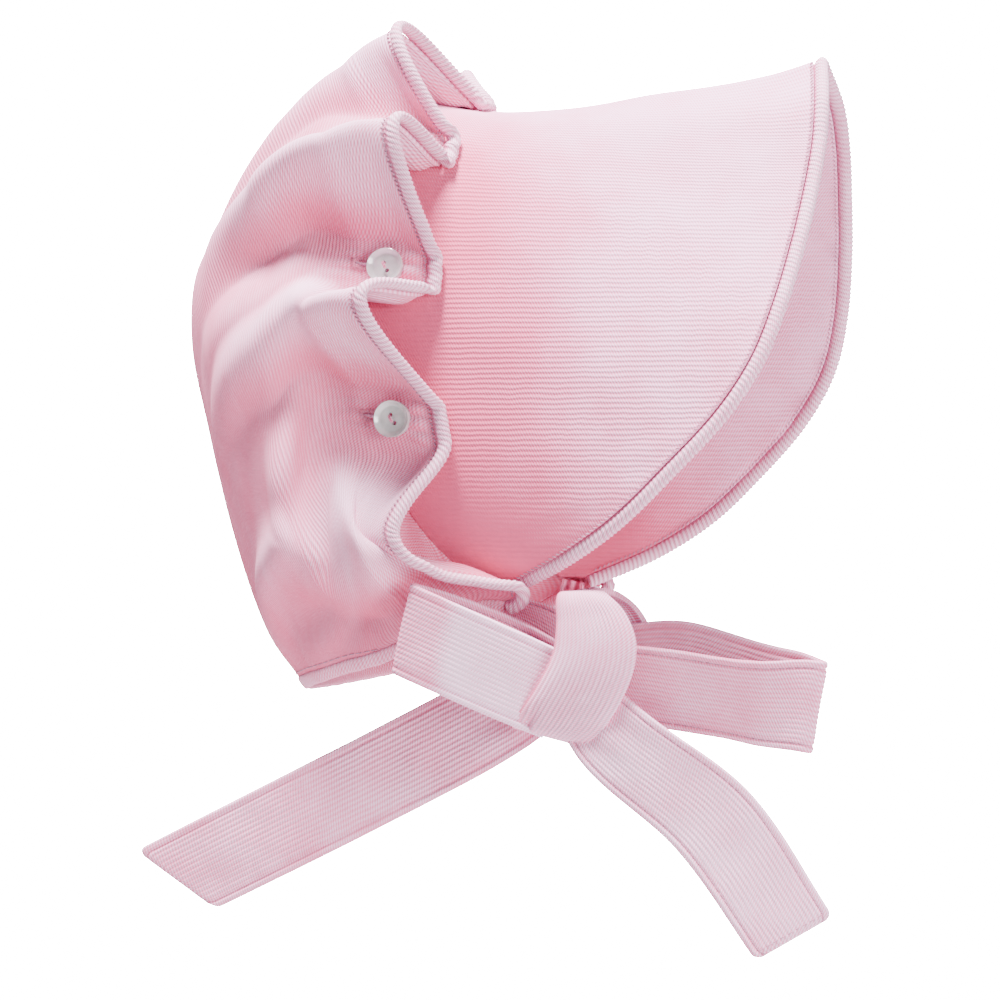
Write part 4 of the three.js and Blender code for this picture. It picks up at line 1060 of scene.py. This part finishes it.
# Buttons
def button_blank():
    """One button at the origin, facing up."""
    radius = BUTTON_DIAMETER / 2 * MM
    thick = BUTTON_THICKNESS * MM
    deselect_all()
    bpy.ops.mesh.primitive_cylinder_add(
        vertices=64, radius=radius * 0.97, depth=thick, location=(0, 0, thick / 2))
    blank = bpy.context.object
    blank.name = "button_blank"
    bpy.ops.object.mode_set(mode="EDIT")
    bpy.ops.mesh.select_all(action="DESELECT")
    bpy.ops.object.mode_set(mode="OBJECT")
    for face in blank.data.polygons:
        face.select = face.normal.z > 0.9
    bpy.ops.object.mode_set(mode="EDIT")
    bpy.ops.mesh.inset(thickness=radius * 0.13)
    bpy.ops.transform.translate(value=(0, 0, -thick * 0.3))
    bpy.ops.mesh.inset(thickness=radius * 0.14)
    bpy.ops.transform.translate(value=(0, 0, -thick * 0.25))
    bpy.ops.object.mode_set(mode="OBJECT")
    apply_modifier(
        blank, "BEVEL", "soft_rim", width=0.00035, segments=3, limit_method="ANGLE", angle_limit=0.5)
    cutters = []
    bpy.ops.mesh.primitive_uv_sphere_add(
        segments=32, ring_count=16, radius=radius * 0.62, location=(0, 0, thick * 0.65))
    eye = bpy.context.object
    eye.scale = (0.45, 1.0, 0.2)
    cutters.append(eye)
    for side in (-1, 1):
        bpy.ops.mesh.primitive_cylinder_add(
            vertices=20, radius=HOLE_WIDTH / 2 * MM, depth=thick * 4,
            location=(0, side * HOLE_PITCH / 2 * MM, 0))
        cutters.append(bpy.context.object)
    for cutter in cutters:
        apply_modifier(blank, "BOOLEAN", "cut", operation="DIFFERENCE", solver="EXACT", object=cutter)
        bpy.data.objects.remove(cutter)
    make_active(blank)
    bpy.ops.object.shade_smooth_by_angle(angle=math.radians(35))
    return blank


def button_frame(place, share):
    """Where a button sits on the hood: its seat, the way back, its normal and the third direction."""
    t = share * BUTTON_SET_BACK / float(along(SPANS, "hood", np.array(abs(place))))
    step = 0.01
    seat = hood.point(place, t)
    back = unit(hood.point(place, t + step) - hood.point(place, t - step))
    normal = hood.normal(place, t)
    back = unit(back - normal * (back @ normal))
    return seat, back, normal, np.cross(normal, back)


def placed(blank, name, seat, back, normal, side, lift):
    piece = blank.copy()
    piece.data = blank.data.copy()
    piece.name = name
    bpy.context.scene.collection.objects.link(piece)
    turn = Matrix((
        (back[0], side[0], normal[0], 0),
        (back[1], side[1], normal[1], 0),
        (back[2], side[2], normal[2], 0),
        (0, 0, 0, 1)))
    where = Matrix.Translation(Vector((seat + normal * lift) * MM))
    piece.data.transform(where @ turn)
    piece.matrix_world = Matrix.Identity(4)
    return piece


def buttonhole(name, place, share):
    """A worked buttonhole: close stitches on both sides of its slit and round its end, some of them
    frayed."""
    pick = np.random.default_rng(len(name) * 7)
    span = float(along(SPANS, "hood", np.array(abs(place))))
    t = share * BUTTON_SET_BACK / span
    wide = np.linalg.norm(hood.point(place + 0.01, t) - hood.point(place - 0.01, t)) / 0.02

    def on_cloth(back, aside):
        u = place + np.asarray(aside) / wide
        v = t + np.asarray(back) / span
        up = hood.normal(u, v)
        return hood.point(u, v) + up * HOOD_WALL / 2, up

    back = np.tile(np.arange(2.0, BUTTONHOLE_SHOWN, 0.62), 2)
    side = np.repeat([-1.0, 1.0], len(back) // 2)
    jitter = pick.uniform(-0.35, 0.35, (2, len(back)))
    gape = 0.35 + 0.9 * np.sqrt(np.clip(1 - (back / BUTTONHOLE_SHOWN) ** 2, 0, 1))
    starts, ups = on_cloth(back, side * gape)
    ends = on_cloth(back + jitter[0], side * (gape + 1.7 + jitter[1]))[0]
    fan = np.linspace(-1.4, 1.4, 9)
    fan_start, fan_up = on_cloth(BUTTONHOLE_SHOWN + 0.3 * np.cos(fan), 0.45 * np.sin(fan))
    fan_end = on_cloth(BUTTONHOLE_SHOWN + 2.0 * np.cos(fan), 2.3 * np.sin(fan))[0]
    loose_back = pick.uniform(5.5, BUTTONHOLE_SHOWN + 1.5, 18)
    loose_side = pick.choice([-1.0, 1.0], 18) * pick.uniform(1.2, 2.6, 18)
    loose_start, loose_up = on_cloth(loose_back, loose_side)
    loose_end = on_cloth(loose_back + pick.uniform(-1.8, 1.8, 18), loose_side * pick.uniform(1.2, 1.9, 18))[0]
    loose_end = loose_end + loose_up * pick.uniform(0.2, 1.0, (18, 1))
    # Painted shade: a thick bar of thread laid in the slit stands for the shade of its opening
    slit_start, slit_up = on_cloth(np.array([1.0]), np.array([0.0]))
    slit_end = on_cloth(np.array([BUTTONHOLE_SHOWN + 0.4]), np.array([0.0]))[0]
    return [
        sew(name + "_slit_shade_bar", slit_start, slit_end, slit_up, 1.3, -0.35, THREAD_PINK, "corduroy"),
        sew(name + "_stitches", np.concatenate([starts, fan_start]), np.concatenate([ends, fan_end]),
            np.concatenate([ups, fan_up]), 0.5, 0.3, BUTTONHOLE_PINK, "corduroy"),
        sew(name + "_frays", loose_start, loose_end, loose_up, 0.18, 0.3, BUTTONHOLE_PINK, "corduroy"),
    ]


button_pieces = []
blank = button_blank()
for node, (place, share) in BUTTON_PLACES.items():
    seat, back, normal, side = button_frame(place, share)
    turn = math.radians(BUTTON_TURN)
    back_turned = back * math.cos(turn) + side * math.sin(turn)
    side_turned = side * math.cos(turn) - back * math.sin(turn)
    lift = HOOD_WALL / 2 + BUTTON_CLEAR + PLEAT_ROOM
    button = placed(blank, node + "_moulded", seat, back_turned, normal, side_turned, lift)
    finish_piece(button, NYLON, "button", node)
    # Two turns of thread from hole to hole, in the button's hollow
    turns = seat + normal * (lift + BUTTON_THICKNESS * 0.5) + np.outer([-0.25, 0.25], back_turned)
    button_pieces.append(sew(
        node + "_thread", turns - side_turned * 1.4, turns + side_turned * 1.4, np.tile(normal, (2, 1)),
        0.5, 0.2, BUTTONHOLE_PINK, "corduroy"))
    button_pieces += buttonhole(node + "_hole", place, share)
bpy.data.objects.remove(blank)


# Stage
def add_floor():
    deselect_all()
    bpy.ops.mesh.primitive_plane_add(size=6, location=(0, 0, -0.9))
    floor = bpy.context.object
    floor.name = "floor"
    material, shader = new_material("matt_white_paper")
    place = add_node(material, "TexCoord").outputs["Object"]
    fibre = add_node(material, "TexNoise", {"Vector": place}, Scale=900.0)
    bump = add_node(material, "Bump", {"Height": fibre}, Strength=0.05, Distance=0.0002)
    material.node_tree.links.new(bump.outputs["Normal"], shader.inputs["Normal"])
    shader.inputs["Base Color"].default_value = linear("#FCFBFB")
    shader.inputs["Roughness"].default_value = 0.9
    floor.data.materials.append(material)


def add_light(name, location, size, power):
    data = bpy.data.lights.new(name, "AREA")
    data.size = size
    data.energy = power
    light = bpy.data.objects.new(name, data)
    light.location = location
    light.rotation_euler = (Vector(location) - VIEW_TARGET).to_track_quat("Z", "Y").to_euler()
    bpy.context.scene.collection.objects.link(light)


add_floor()
add_light("key_above", (-0.2, -0.3, 1.35), 0.4, 150)
add_light("side_front", (1.6, -0.8, 0.0), 0.8, 44)

# The studio is white all round. Where the camera looks at it, it is brighter than its light on the bonnet.
STUDIO_SEEN = 60.0
STUDIO_LIGHT = 0.42
world = bpy.data.worlds.new("studio")
world.use_nodes = True
background = world.node_tree.nodes["Background"]
background.inputs["Color"].default_value = (1.0, 0.985, 0.99, 1.0)
looked_at = add_node(world, "LightPath").outputs["Is Camera Ray"]
level = add_node(world, "Math", {0: looked_at, 1: STUDIO_SEEN, 2: STUDIO_LIGHT}, operation="MULTIPLY_ADD")
world.node_tree.links.new(level.outputs[0], background.inputs["Strength"])
bpy.context.scene.world = world
